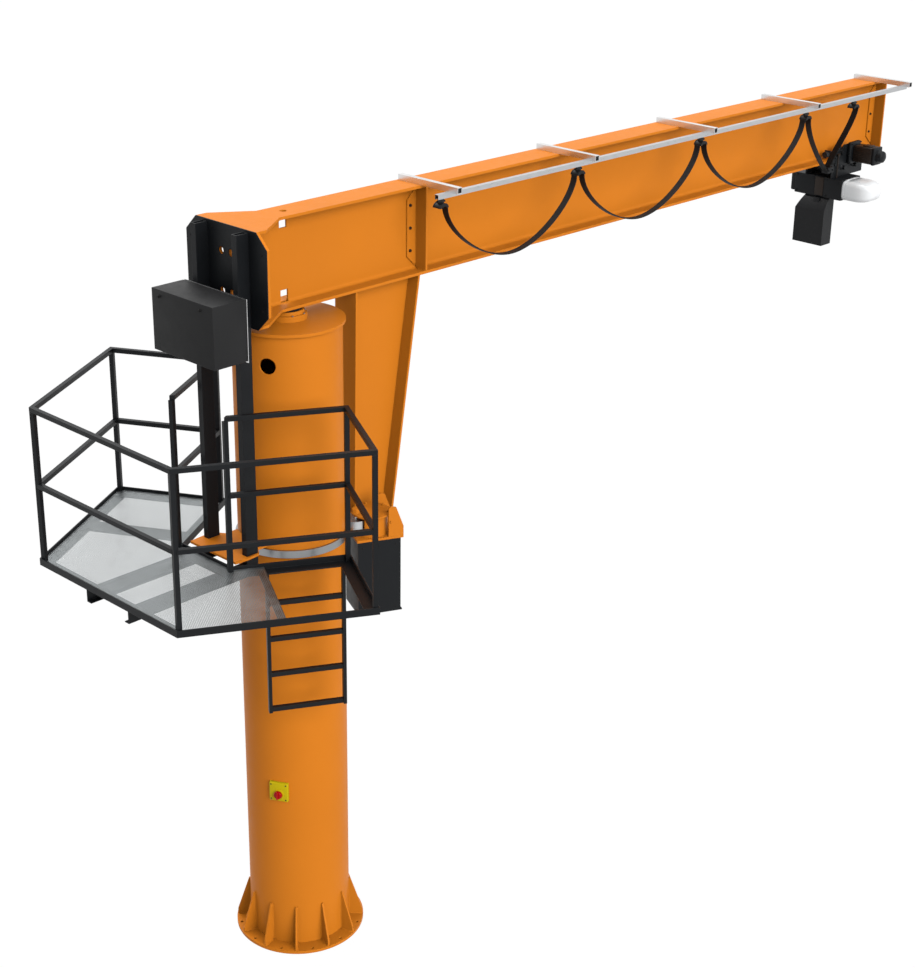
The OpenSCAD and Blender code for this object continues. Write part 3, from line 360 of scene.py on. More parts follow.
def paintedSteel(name, colour, bareOrLitEdge, mottle, roughness, wearOrHighlight,
                 dust=0.0, peel=0.4, coat=0.0, specular=0.4, dimmedBounceColour=None):
    material, tree, shader = startMaterial(name, colour, coat=coat, specular=specular)
    film = useGroup(tree, paintFilm, Colour=colour + (1,), Mottle=mottle, Dust=dust,
                    Roughness=roughness, Orange_peel=peel)
    # patchy edge colour: bare metal where worn, or a painted highlight where the edge colour is lighter than
    # the paint
    edge = useGroup(tree, wornOrLitEdge, Bare=bareOrLitEdge + (1,), Amount=wearOrHighlight, Radius=0.004)
    wire(tree, film.outputs["Colour"], edge.inputs["Colour"])
    shown = edge.outputs["Colour"]
    if dimmedBounceColour:  # bounced light only: a darker, greyer colour than the paint, painted shade on the faces beside it
        path = tree.nodes.new("ShaderNodeLightPath")
        shown = blendColours(tree, path.outputs["Is Diffuse Ray"], shown, dimmedBounceColour + (1,))
    wire(tree, shown, shader.inputs["Base Color"])
    wire(tree, film.outputs["Roughness"], shader.inputs["Roughness"])
    addBump(tree, shader, film.outputs["Height"], 0.12, 0.0006, edge.outputs["Normal"])
    return material


def bareMetal(name, colour, stretch, roughness, spangle=0.0, bump=0.08):
    material, tree, shader = startMaterial(name, colour, metallic=1.0)
    grain = useGroup(tree, metalGrain, Colour=colour + (1,), Stretch=stretch,
                     Roughness=roughness, Spangle=spangle)
    wire(tree, grain.outputs["Colour"], shader.inputs["Base Color"])
    wire(tree, grain.outputs["Roughness"], shader.inputs["Roughness"])
    addBump(tree, shader, grain.outputs["Height"], bump, 0.0004)
    return material


def moulded(name, colour, scale, roughness, scuff, specular=0.3):
    material, tree, shader = startMaterial(name, colour, specular=specular)
    skin = useGroup(tree, mouldedSkin, Colour=colour + (1,), Scale=scale, Roughness=roughness, Scuff=scuff)
    wire(tree, skin.outputs["Colour"], shader.inputs["Base Color"])
    wire(tree, skin.outputs["Roughness"], shader.inputs["Roughness"])
    addBump(tree, shader, skin.outputs["Height"], 0.1, 0.0005)
    return material


finish = {
    "orange_paint": paintedSteel(
        # brighter orange on the edges: painted highlight, patchy like wear, not bare metal
        "orangePaint", (0.69, 0.206, 0.014), (0.95, 0.40, 0.05), mottle=0.03, roughness=0.48, wearOrHighlight=0.3,
        # darker grey seen only by bounced light: painted shade on the faces beside the orange paint
        specular=0.10, dimmedBounceColour=(0.16, 0.13, 0.08)),
    "black_paint": paintedSteel(
        "blackPaint", (0.0075, 0.0085, 0.0098), (0.09, 0.09, 0.09), mottle=0.12, roughness=0.44, wearOrHighlight=0.4,
        specular=0.16),
    "cabinet_paint": paintedSteel(
        "cabinetPaint", (0.019, 0.019, 0.0195), (0.09, 0.09, 0.09), mottle=0.04, roughness=0.5, wearOrHighlight=0.3,
        peel=1.0, specular=0.12),
    "motor_paint": paintedSteel(
        "motorPaint", (0.024, 0.016, 0.012), (0.12, 0.10, 0.09), mottle=0.10, roughness=0.4, wearOrHighlight=0.4,
        specular=0.2),
    "pale_paint": paintedSteel(
        "palePaint", (0.88, 0.89, 0.90), (0.6, 0.6, 0.6), mottle=0.02, roughness=0.3, wearOrHighlight=0.1,
        dust=0.01, coat=0.2),
    "bright_steel": bareMetal("brightSteel", (0.50, 0.51, 0.52), (1, 1, 8), 0.34, bump=0.04),
    "pale_steel": bareMetal("paleSteel", (0.72, 0.72, 0.72), (0.15, 0.15, 0.15), 0.30, bump=0.004),
    "grating": bareMetal("gratingSteel", (0.308, 0.328, 0.333), (1, 1, 1), 0.45, spangle=0.02),
    "yellow_plastic": moulded("yellowPlastic", (0.58, 0.45, 0.003), 700, 0.42, 0.0, specular=0.14),
    "red_plastic": moulded("redPlastic", (0.42, 0.002, 0.002), 700, 0.36, 0.0, specular=0.2),
    "black_plastic": moulded("blackPlastic", (0.0065, 0.0070, 0.0080), 900, 0.5, 0.015, specular=0.22),
    "cable_rubber": moulded("cableRubber", (0.006, 0.0055, 0.0055), 1400, 0.6, 0.015, specular=0.2),
    "buffer_rubber": moulded("bufferRubber", (0.018, 0.018, 0.018), 1200, 0.7, 0.2),
    "polished": bareMetal("polishedRing", (0.30, 0.305, 0.31), (2, 2, 90), 0.34, bump=0.05),
}
for part in frame["record"]["subparts"]:
    nodeData = frame["nodes"][part["node"]].data
    nodeData.materials.clear()
    nodeData.materials.append(finish["polished" if part["node"] == "slew_ring" else part["material_slot"]])
print("materials:", len(finish))


# making pieces
def newPiece():
    return bmesh.new()


def turned(direction, at=(0, 0, 0)):  # a place whose own Z looks along the direction
    return Matrix.Translation(at) @ Vector(direction).to_track_quat("Z", "Y").to_matrix().to_4x4()


def standing(x=0, y=0, z=0, squash=1):  # a place for an outline in X and Z that grows along Y
    return Matrix(((1, 0, 0, x), (0, 0, 1, y), (0, squash, 0, z), (0, 0, 0, 1)))


def onCircle(radius, angle):
    return radius * math.cos(angle), radius * math.sin(angle)


def circle(radius, steps):
    return [onCircle(radius, 2 * math.pi * k / steps) for k in range(steps)]


def halfCircle(radius):
    return [onCircle(radius, math.pi * k / 20) for k in range(21)]


def addBlock(bm, low, high):
    corners = []
    for x in (low[0], high[0]):
        for y in (low[1], high[1]):
            corners += [bm.verts.new((x, y, z)) for z in (low[2], high[2])]
    for face in ((0, 1, 3, 2), (4, 6, 7, 5), (0, 4, 5, 1), (2, 3, 7, 6), (0, 2, 6, 4), (1, 5, 7, 3)):
        bm.faces.new([corners[i] for i in face])
    return corners


def addRoundBlock(bm, low, high, radius, steps=2, place=None):
    corners = addBlock(bm, low, high)
    edges = {e for v in corners for e in v.link_edges}
    made = bmesh.ops.bevel(bm, geom=list(edges), offset=radius, segments=steps, affect="EDGES", profile=0.5)
    if place is not None:
        for v in {v for f in made["faces"] for v in f.verts} | {v for v in corners if v.is_valid}:
            v.co = place @ v.co


def addProfile(bm, outline, depth, place):
    low = [bm.verts.new(place @ Vector((x, y, 0))) for x, y in outline]
    high = [bm.verts.new(place @ Vector((x, y, depth))) for x, y in outline]
    bm.faces.new(low[::-1])
    bm.faces.new(high)
    for i in range(len(outline)):
        j = (i + 1) % len(outline)
        bm.faces.new((low[i], low[j], high[j], high[i]))


def joinRings(bm, rings, closed=False):
    for a, b in zip(rings, rings[1:] + rings[:1] if closed else rings[1:]):
        for k in range(len(a)):
            m = (k + 1) % len(a)
            bm.faces.new((a[k], a[m], b[m], b[k]))
    if not closed:
        bm.faces.new(rings[0][::-1])
        bm.faces.new(rings[-1])


def addLathe(bm, outline, place, steps):  # a radius and a height for each ring
    rings = []
    for radius, height in outline:
        around = circle(radius, steps) if radius > 0 else [(0, 0)]
        rings.append([bm.verts.new(place @ Vector((x, y, height))) for x, y in around])
    for a, b in zip(rings, rings[1:]):
        for k in range(steps):
            m = (k + 1) % steps
            bm.faces.new((a[k], a[m], b[0]) if len(b) == 1 else (a[k], a[m], b[m], b[k]))
    bm.faces.new(rings[0][::-1])
    if len(rings[-1]) > 1:
        bm.faces.new(rings[-1])


def addBolt(bm, at, direction, size, nut=True):
    place, washer = turned(direction, at), size * 0.16
    addLathe(bm, [(size * 1.1, 0), (size * 1.1, washer), (0, washer)], place, 20)
    if nut:
        reach = size * 1.55 / 2 / math.cos(math.pi / 6)
        addProfile(bm, circle(reach, 6), size * 0.8, place @ Matrix.Translation((0, 0, washer)))


def addTube(bm, path, radius, steps):
    rings = []
    for i, point in enumerate(path):
        ahead = (Vector(path[min(i + 1, len(path) - 1)]) - Vector(path[max(i - 1, 0)])).normalized()
        turn = ahead.to_track_quat("Z", "Y").to_matrix()
        size = radius[i] if isinstance(radius, list) else radius
        rings.append([bm.verts.new(Vector(point) + turn @ Vector((x, y, 0))) for x, y in circle(size, steps)])
    joinRings(bm, rings)


def finishPiece(bm, name, slotName, body, standsFor=(), sharp=35):
    bmesh.ops.recalc_face_normals(bm, faces=bm.faces)
    for face in bm.faces:
        face.smooth = True
    for edge in bm.edges:
        if len(edge.link_faces) == 2 and edge.calc_face_angle(0) > math.radians(sharp):
            edge.smooth = False
    data = bpy.data.meshes.new(name)
    bm.to_mesh(data)
    bm.free()
    data.materials.append(finish[slotName])
    piece = bpy.data.objects.new(name, data)
    scene.collection.objects.link(piece)
    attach(piece, body)
    if standsFor:
        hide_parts(*standsFor)
    return piece


def smoothCurve(a, b, c, d, count):
    points = []
    for i in range(count + 1):
        t = i / count
        rest = 1 - t
        near = Vector(a) * rest ** 3 + 3 * Vector(b) * t * rest ** 2
        points.append(near + 3 * Vector(c) * t ** 2 * rest + Vector(d) * t ** 3)
    return points


beamLow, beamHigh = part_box("jib_beam")
beamFoot, beamEnd = beamLow.z, beamHigh.x

# flat cables and their saddles
cableSettings = {
    "width": 0.052, "thickness": 0.008, "cores": 6, "groove": 0.0011, "roundEdge": 0.003,
    "line": -0.350, "top": 5.100, "drop": 0.424, "reach": 0.039, "fall": 0.37, "spread": 0.233,
    "saddles": (1.010, 2.35798, 3.75398, 5.12599, 5.817),
    "clamp": (5.790, -0.170, 4.560),
}
saddleSettings = {
    "half": 0.031, "slack": 0.002, "wall": 0.012, "lip": 0.003, "lipThick": 0.004, "squash": 0.82,
    "rollerX": 0.016, "rollerZ": 0.0665, "stopX": 0.027, "boltY": 0.018, "barZ": 0.006,
}


def hangingRoute(start, end, s, count=28):
    top = Vector((start, s["line"], s["top"]))
    lowest = Vector(((start + end) / 2, s["line"], s["top"] - s["drop"]))
    leaving = top - Vector((0, 0, s["fall"] * s["drop"]))
    arriving = lowest - Vector((s["spread"] * (end - start), 0, 0))
    half = smoothCurve(top, leaving, arriving, lowest, count)
    return half + [Vector((start + end - p.x, p.y, p.z)) for p in half[-2::-1]]


def ribbedSection(s):
    section = []
    steps = s["cores"] * 4
    for side in (1, -1):
        for k in range(steps + 1):
            u = k / steps if side > 0 else 1 - k / steps
            wave = abs(math.sin(math.pi * s["cores"] * u))
            edge = min(u, 1 - u) * s["width"]
            thick = s["thickness"] / 2 - s["groove"] * (1 - wave)
            thick *= min(1, math.sqrt(max(edge, 0) / s["roundEdge"] + 0.05))
            section.append(((u - 0.5) * s["width"], side * thick))
    return section


def flatCable(name, route, first, last, body, s, standsFor):
    bm = newPiece()
    section = ribbedSection(s)
    rings = []
    for i, point in enumerate(route):
        ahead = first if i == 0 else last if i == len(route) - 1 else (route[i + 1] - route[i - 1])
        ahead = Vector(ahead).normalized()
        normal = ahead.cross(Vector((0, 1, 0))).normalized()
        side = normal.cross(ahead)
        rings.append([bm.verts.new(point + side * a + normal * b) for a, b in section])
    joinRings(bm, rings)
    piece = finishPiece(bm, name, "cable_rubber", body, standsFor, sharp=60)
    return piece


def cableSaddle(name, x, body, node, cable, s):
    bm = newPiece()
    y, z, r, half = cable["line"], cable["top"], cable["reach"] - s["slack"], s["half"]
    arch = halfCircle(r) + halfCircle(r - s["wall"])[::-1]
    place = standing(x, y - half + s["slack"], z, s["squash"])
    addProfile(bm, arch, 2 * half - 2 * s["slack"], place)
    window = [(-r + 0.014, 0), (-r + 0.020, 0.014), (r - 0.020, 0.014), (r - 0.014, 0)]
    for side in (-1, 1):  # lips that keep the cable on the arch
        place = standing(x, y + side * half - s["slack"], z, s["squash"])
        addProfile(bm, halfCircle(r + s["lip"]) + window, s["lipThick"], place)
    neckFoot = z + r * s["squash"] - 0.012
    addRoundBlock(bm, (x - 0.022, y - 0.009, neckFoot), (x + 0.022, y + 0.009, z + r + 0.016), 0.002)
    addBlock(bm, (x - 0.016, y - 0.004, z + r), (x + 0.016, y + 0.004, z + 0.070))
    addRoundBlock(bm, (x - 0.026, y - 0.009, z + 0.0605), (x + 0.026, y + 0.009, z + 0.075), 0.002)
    for dx in (-s["rollerX"], s["rollerX"]):  # rollers inside the rail
        for side in (-1, 1):
            place = turned((0, side, 0), (x + dx, y + side * 0.008, z + s["rollerZ"]))
            addLathe(bm, [(0.0075, 0), (0.0075, 0.004), (0, 0.004)], place, 16)
    for at in (x - s["stopX"], x + s["stopX"]):  # rubber stops at both ends
        low, high = (at - 0.007, y - 0.010, z + r - 0.004), (at + 0.007, y + 0.010, z + r + 0.009)
        addRoundBlock(bm, low, high, 0.003)
    barZ = z + s["barZ"]  # clamp bar under the arch
    addRoundBlock(bm, (x - 0.030, y - 0.028, barZ), (x + 0.030, y + 0.028, z + 0.014), 0.002)
    for dy in (-s["boltY"], s["boltY"]):
        addBolt(bm, (x, y + dy, barZ), (0, 0, -1), 0.006)
    finishPiece(bm, name, "black_plastic", body, (node,))


bodies = ("jib", "cable_trolley_2", "cable_trolley_3", "cable_trolley_4", "trolley")
for number, (x, body) in enumerate(zip(cableSettings["saddles"], bodies), start=1):
    node = "cable_end_clamp" if number == 1 else f"cable_trolley_{number}"
    cableSaddle(f"cableSaddle{number}", x, body, node, cableSettings, saddleSettings)


def makeCables(s):
    line, top, reach, saddles = s["line"], s["top"], s["reach"], s["saddles"]
    for k in range(3):
        start, end = saddles[k] + reach, saddles[k + 1] - reach
        route = hangingRoute(start, end, s)
        nodes = (f"cable_loop_{k + 1}",)
        loop = flatCable(f"flatCable{k + 1}", route, (0, 0, -1), (0, 0, 1), bodies[k], s, nodes)
        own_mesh(loop)
    clamp = Vector(s["clamp"])
    start, end = Vector((saddles[3] + reach, line, top)), clamp - Vector((0.025, 0, 0))
    leaving, arriving = start + Vector((-0.005, 0, -0.140)), end + Vector((-0.125, -0.035, 0.080))
    route = smoothCurve(start, leaving, arriving, end, 48)
    loop = flatCable("flatCable4", route, (0, 0, -1), (1, 0, 0), bodies[3], s, ("cable_loop_4",))
    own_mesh(loop)
    start, end = Vector((saddles[4] + reach, line, top)), clamp + Vector((0.008, 0, 0.025))
    leaving, arriving = start + Vector((-0.021, 0, -0.130)), end + Vector((0.002, -0.030, 0.115))
    route = smoothCurve(start, leaving, arriving, end, 40)
    flatCable("flatCable5", route, (0, 0, -1), (0, 0, -1), bodies[4], s, ("cable_loop_5",))


makeCables(cableSettings)
print("cables and saddles made")

# platform mesh
deckSettings = {
    "back": -1.480, "half": 0.690, "turn": 30, "wing": 1.206, "depth": 0.778, "inner": -0.700,
    "hatch": 0.646, "inset": 0.010, "top": 3.080, "pitch": 0.010, "rows": 95, "bar": 0.0036,
    "lengthwise": (0.0012, 0.0005), "crosswise": (0.0007, 0), "band": 0.003, "bandDeep": 0.018,
    "farBar": (0.555, 0.694), "ledge": 0.080, "barTop": 3.062, "barThick": 0.008,
}


def mirrored(p):
    return Vector((p.x, -p.y, p.z))


def addFlatBar(bm, corners, low, thick):
    addProfile(bm, [(p.x, p.y) for p in corners], thick, Matrix.Translation((0, 0, low)))


def clipLine(origin, direction, outline):  # where a line enters and leaves the outline
    low, high = -10.0, 10.0
    for i, a in enumerate(outline):
        b = outline[(i + 1) % len(outline)]
        inward = Vector((-(b - a).y, (b - a).x, 0)).normalized()
        speed, gap = inward.dot(direction), inward.dot(origin - a)
        if abs(speed) < 1e-9:
            if gap < 0:
                return None
        elif speed > 0:
            low = max(low, -gap / speed)
        else:
            high = min(high, -gap / speed)
    return (low, high) if high - low > 0.004 else None


def meshPanel(name, outline, along, s, panelEnds):
    bm = newPiece()
    area = sum(a.x * b.y - b.x * a.y for a, b in zip(outline, outline[1:] + outline[:1]))
    if area < 0:
        outline = outline[::-1]
    across = Vector((-along.y, along.x, 0))
    middle = sum(outline, Vector()) / len(outline)
    half, top, deep = s["bar"] / 2, s["top"], s["bandDeep"]
    for direction, side, drops in ((along, across, s["lengthwise"]), (across, along, s["crosswise"])):
        low, high = top - drops[0], top - drops[1]
        for k in range(-s["rows"], s["rows"] + 1):
            origin = middle + side * (k * s["pitch"])
            span = clipLine(origin, direction, outline)
            if span:
                a, b = origin + direction * span[0], origin + direction * span[1]
                corners = (a - side * half, b - side * half, b + side * half, a + side * half)
                addFlatBar(bm, corners, low, high - low)
    for i, a in enumerate(outline):  # flat bar round the edge
        b = outline[(i + 1) % len(outline)]
        if all(min((Vector((p.x, abs(p.y), 0)) - q).length for q in panelEnds) < 0.03 for p in (a, b)):
            continue  # the panels meet here without a bar
        ahead = (b - a).normalized()
        inward = Vector((-ahead.y, ahead.x, 0)) * s["band"]
        addFlatBar(bm, (a, b, b + inward, a + inward), top - deep, deep)
    return finishPiece(bm, name, "grating", "jib")


def makeDeck(s):
    turn, tight, depth = math.radians(s["turn"]), s["inset"], s["depth"]
    along = Vector((math.cos(turn), -math.sin(turn), 0))
    out = Vector((-math.sin(turn), -math.cos(turn), 0))
    rear = Vector((s["back"], -s["half"], 0))
    tipOut = rear + along * s["wing"]
    tipIn = tipOut - out * depth
    root = tipIn - along * ((tipIn.x - s["inner"]) / along.x)
    shift = Vector((tight, tight * math.tan(turn), 0))
    rearEnd, rootEnd = rear + shift, root - shift
    frontOut = rear + along * s["hatch"] - out * tight
    frontIn = rear + along * s["hatch"] - out * (depth - tight)
    farOut = tipOut - along * tight - out * tight
    farIn = tipIn - along * tight + out * tight
    gap = Vector((0, 0.0005, 0))
    rearPanel = [rearEnd + gap, rootEnd + gap, mirrored(rootEnd) - gap, mirrored(rearEnd) - gap]
    farWing = [mirrored(p) for p in (rearEnd, farOut, farIn, rootEnd)]
    panelEnds = [Vector((p.x, abs(p.y), 0)) for p in (rearEnd, rootEnd)]
    nearPanel = meshPanel("meshNearWing", [rearEnd, frontOut, frontIn, rootEnd], along, s, panelEnds)
    meshPanel("meshRear", rearPanel, Vector((1, 0, 0)), s, panelEnds)
    meshPanel("meshFarWing", farWing, mirrored(along), s, panelEnds)
    bm = newPiece()  # flat bar across the far wing, under the mesh
    start, end = s["farBar"]
    low, high = s["ledge"], depth - s["ledge"]
    corners = ((start, low), (end, low), (end, high), (start, high))
    barEnds = [mirrored(rear + along * u - out * v) for u, v in corners]
    addFlatBar(bm, barEnds, s["barTop"] - s["barThick"], s["barThick"])
    finishPiece(bm, "farWingBar", "black_paint", "jib")
    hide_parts("platform_floor")


makeDeck(deckSettings)
print("platform mesh made")

# hoist and trolley
hoistSettings = {
    "middle": 6.170, "back": 0.220, "length": 0.280, "half": 0.232, "height": 0.175, "drop": 0.1353,
    "waist": (-0.055, 0.031), "boltRows": (-0.215, -0.075, 0.050, 0.215), "bolt": 0.008,
}
middleX, hoistHalf, hoistLength = (hoistSettings[k] for k in ("middle", "half", "length"))
hoistTop = beamFoot - hoistSettings["drop"]
hoistFoot = hoistTop - hoistSettings["height"]
hoistX = middleX - hoistSettings["back"]
hoistEnd = hoistX + hoistLength


def makeHoistBody(s):
    bm = newPiece()
    near, far = s["waist"]
    addRoundBlock(bm, (hoistX, -hoistHalf, hoistFoot), (hoistEnd, near, hoistTop), 0.006, 3)
    low = (hoistX + 0.003, near - 0.003, hoistFoot + 0.002)
    addRoundBlock(bm, low, (hoistEnd - 0.003, far + 0.003, hoistTop - 0.002), 0.004, 2)
    addRoundBlock(bm, (hoistX, far, hoistFoot), (hoistEnd, hoistHalf, hoistTop), 0.006, 3)
    for y in s["boltRows"]:
        for z in (hoistFoot + 0.018, hoistTop - 0.018):
            addBolt(bm, (hoistX, y, z), (-1, 0, 0), s["bolt"])
    for z in (hoistFoot + 0.03, hoistTop - 0.03):
        for x in (hoistX + 0.03, hoistEnd - 0.03):
            addBolt(bm, (x, -hoistHalf, z), (0, -1, 0), s["bolt"])
    for x in (hoistX + 0.05, hoistEnd - 0.05):
        low, high = (x - 0.012, -hoistHalf + 0.02, hoistFoot - 0.006), (x + 0.012, -0.08, hoistFoot)
        addRoundBlock(bm, low, high, 0.002)
    finishPiece(bm, "hoistBody", "black_paint", "trolley", ("hoist_body",))
    bm = newPiece()  # brown band between the two dark halves
    low, high = (hoistX - 0.002, -0.050, hoistFoot + 0.012), (hoistX + 0.010, 0.031, hoistTop - 0.008)
    addRoundBlock(bm, low, high, 0.002)
    finishPiece(bm, "hoistBand", "motor_paint", "trolley")


coverSettings = {"length": 0.262, "fullness": 0.45, "steps": 64, "gearDeep": 0.050}


def makeCovers(s):
    bm = newPiece()  # pale cover over the motor, rounded at its end
    length = s["length"]
    middle = Vector((hoistX + hoistLength / 2, -hoistHalf, hoistFoot + hoistSettings["height"] / 2))
    halfX, halfZ = hoistLength / 2 - 0.002, hoistSettings["height"] / 2 - 0.001
    outline = [(0.985, 0), (1, 0.004), (1, 0.020), (0.975, 0.022), (0.975, 0.028), (1, 0.030)]
    nose = smoothCurve((1, length * 0.35, 0), (1, length * 0.72, 0), (0.80, length, 0), (0.02, length, 0), 20)
    rings = []
    for share, reach in outline + [(p.x, p.y) for p in nose]:
        ring = []
        for point in circle(1, s["steps"]):
            u, v = [math.copysign(abs(w) ** s["fullness"], w) * share for w in point]
            ring.append(bm.verts.new(middle + Vector((u * halfX, -reach, v * halfZ))))
        rings.append(ring)
    joinRings(bm, rings)
    finishPiece(bm, "motorHousing", "pale_paint", "trolley", ("hoist_motor",), sharp=50)
    bm = newPiece()  # dark cover over the gears, at the far end
    face = hoistHalf + s["gearDeep"]
    low, high = (hoistX + 0.014, hoistHalf, hoistFoot + 0.010), (hoistEnd - 0.014, face, hoistTop - 0.010)
    addRoundBlock(bm, low, high, 0.012, 4)
    for x in (hoistX + 0.034, hoistEnd - 0.034):
        for z in (hoistFoot + 0.030, hoistTop - 0.030):
            addBolt(bm, (x, face, z), (0, 1, 0), 0.006, nut=False)
    finishPiece(bm, "gearCover", "black_plastic", "trolley")


binSettings = {
    "back": 0.050, "length": 0.140, "width": 0.289, "side": -0.114, "height": 0.403,
    "slope": 0.113, "lean": 0.070, "corner": 0.050,
}


def makeChainContainer(s):
    bm = newPiece()  # chain container with a rounded shoulder
    x, foot, slope, lean = hoistX - s["back"], hoistFoot - s["height"], s["slope"], s["lean"]
    end, farSide = x + s["length"], s["side"] + s["width"]
    start, toe = (lean, -0.001, 0), (0, -slope, 0)
    shoulder = smoothCurve(start, (lean * 0.62, -0.018, 0), (0.010, -slope * 0.62, 0), toe, 12)
    outline = [(x, foot), (end, foot), (end, hoistFoot - 0.001)]
    outline += [(x + p.x, hoistFoot + p.y) for p in shoulder]
    addProfile(bm, outline, s["width"], standing(y=s["side"]))
    for v in bm.verts:  # the far shoulder leans in
        if v.co.y > farSide - 0.001 and v.co.z > hoistFoot - slope:
            v.co.y -= s["corner"] * (v.co.z - hoistFoot + slope) / slope
    sharpEdges = [e for e in bm.edges if e.calc_face_angle(0) > 0.8]
    bmesh.ops.bevel(bm, geom=sharpEdges, offset=0.009, segments=3, affect="EDGES")
    addRoundBlock(bm, (x + 0.030, -0.030, hoistFoot - 0.045), (x + 0.060, 0.022, hoistFoot - 0.004), 0.004)
    for y in (s["side"] + 0.02, farSide - 0.02):
        addBolt(bm, (end, y, foot + 0.04), (1, 0, 0), 0.008)
    finishPiece(bm, "chainContainer", "black_plastic", "trolley", ("chain_container",))


# travel motor; places count from its axis, at the outer face of the trolley's plate
travelSettings = {"ahead": 0.070, "up": 0.050, "plateFace": -0.130, "fins": 9, "finStep": 0.014}


def makeTravelMotor(s):
    axis = Vector((middleX + s["ahead"], s["plateFace"], beamFoot + s["up"]))

    def at(x, y, z):
        return axis + Vector((x, y, z))

    bm = newPiece()  # gear case, flange and round cap
    addRoundBlock(bm, at(-0.098, -0.036, -0.088), at(0.060, 0, 0.096), 0.012, 3)
    addLathe(bm, [(0.015, 0), (0.015, 0.008), (0, 0.008)], turned((-1, 0, 0), at(-0.098, -0.018, 0)), 20)
    for dx in (-0.086, 0.050):
        for dz in (-0.076, 0.084):
            addBolt(bm, at(dx, -0.036, dz), (0, -1, 0), 0.007)
    addRoundBlock(bm, at(-0.064, -0.245, -0.074), at(0.063, -0.215, 0.074), 0.010, 3)
    cap = [(0.050, 0), (0.050, 0.040), (0.046, 0.054), (0.034, 0.062), (0, 0.065)]
    addLathe(bm, cap, turned((0, -1, 0), at(0, -0.240, 0)), 36)
    finishPiece(bm, "travelGear", "black_paint", "trolley", ("travel_motor",))
    bm = newPiece()  # finned body with its connection box
    addRoundBlock(bm, at(-0.060, -0.218, -0.070), at(0.060, -0.034, 0.070), 0.012, 3)
    for k in range(s["fins"]):
        z = -0.056 + k * s["finStep"]
        for x in (-0.0625, 0.0605):
            addBlock(bm, at(x, -0.205, z - 0.0025), at(x + 0.002, -0.050, z + 0.0025))
    addRoundBlock(bm, at(-0.040, -0.190, 0.068), at(0.030, -0.110, 0.080), 0.005, 2)
    finishPiece(bm, "travelMotorBody", "motor_paint", "trolley")


# nuts on the trolley plates: places along the beam, side, heights over the beam's foot, size
nutRows = (
    ((-0.088, 0.088), 0.148, (-0.057,), 0.020),
    ((-0.110, 0.110), 0.1297, (0.0693,), 0.020),
    ((-0.200, 0.195), 0.130, (-0.020, 0.040), 0.012),
)
rodSettings = {"x": 6.000, "y": -0.142, "radius": 0.006, "eyeHalf": 0.014}


def makeTrolleyTrim(rows, rod, clamp):
    bm = newPiece()
    for side in (-1, 1):
        for alongs, outward, heights, size in rows:
            for dx in alongs:
                for dz in heights:
                    addBolt(bm, (middleX + dx, side * outward, beamFoot + dz), (0, side, 0), size)
    finishPiece(bm, "trolleyNuts", "black_paint", "trolley")
    bm = newPiece()  # thin rod from the side plate to the hoist
    x, y, half = rod["x"], rod["y"], rod["eyeHalf"]
    addTube(bm, [(x, y, hoistTop - 0.002), (x, y, beamFoot + 0.060)], rod["radius"], 12)
    addRoundBlock(bm, (x - half, -0.152, beamFoot + 0.048), (x + half, -0.130, beamFoot + 0.070), 0.003)
    finishPiece(bm, "stayRod", "motor_paint", "trolley")
    bm = newPiece()  # clamp that gathers the two cables
    x, y, z = clamp
    addRoundBlock(bm, (x - 0.025, y - 0.030, z - 0.025), (x + 0.060, y + 0.030, z + 0.025), 0.004)
    addRoundBlock(bm, (x + 0.055, -0.140, z - 0.020), (middleX - 0.228, -0.122, z + 0.020), 0.002)
    for dx in (-0.010, 0.045):
        addBolt(bm, (x + dx, y - 0.030, z), (0, -1, 0), 0.008)
    finishPiece(bm, "cableClamp", "black_plastic", "trolley", ("cable_clamp",))


makeHoistBody(hoistSettings)
makeCovers(coverSettings)
makeChainContainer(binSettings)
makeTravelMotor(travelSettings)
makeTrolleyTrim(nutRows, rodSettings, cableSettings["clamp"])

# chain and hook
chainSettings = {
    "wire": 0.011, "inner": 0.031, "count": 4, "x": hoistX + 0.130, "step": 0.0307, "gap": 0.0003,
}
hookSettings = {
    "half": 0.034, "height": 0.090, "bowl": 0.034, "bowlDrop": 0.154, "thick": 0.0100, "sweep": 250,
}


def makeChain(s):
    bm = newPiece()
    wire, top = s["wire"], hoistFoot - s["gap"] - s["inner"] / 2 - s["wire"]
    bend = wire * 1.15
    straight = (s["inner"] - 2 * (bend - wire / 2)) / 2
    for k in range(s["count"]):  # every second link is turned by a quarter
        wide, flat = Vector((0, 1, 0)), Vector((1, 0, 0))
        if k % 2:
            wide, flat = flat, wide
        centre = Vector((s["x"], 0, top - k * s["step"]))
        path = []
        for u, v in circle(bend, 24):
            shift = straight if v > 1e-8 else -straight if v < -1e-8 else 0
            path.append(centre + wide * u + Vector((0, 0, v + shift)))
        rings = []
        for i, point in enumerate(path):
            side = (path[(i + 1) % len(path)] - path[i - 1]).normalized().cross(flat)
            rings.append([bm.verts.new(point + flat * a + side * b) for a, b in circle(wire / 2, 12)])
        joinRings(bm, rings, closed=True)
    finishPiece(bm, "liftChain", "bright_steel", "trolley", ("lift_chain",))
    return Vector((s["x"], 0, top - (s["count"] - 1) * s["step"] - s["inner"] / 2 - wire - s["gap"]))


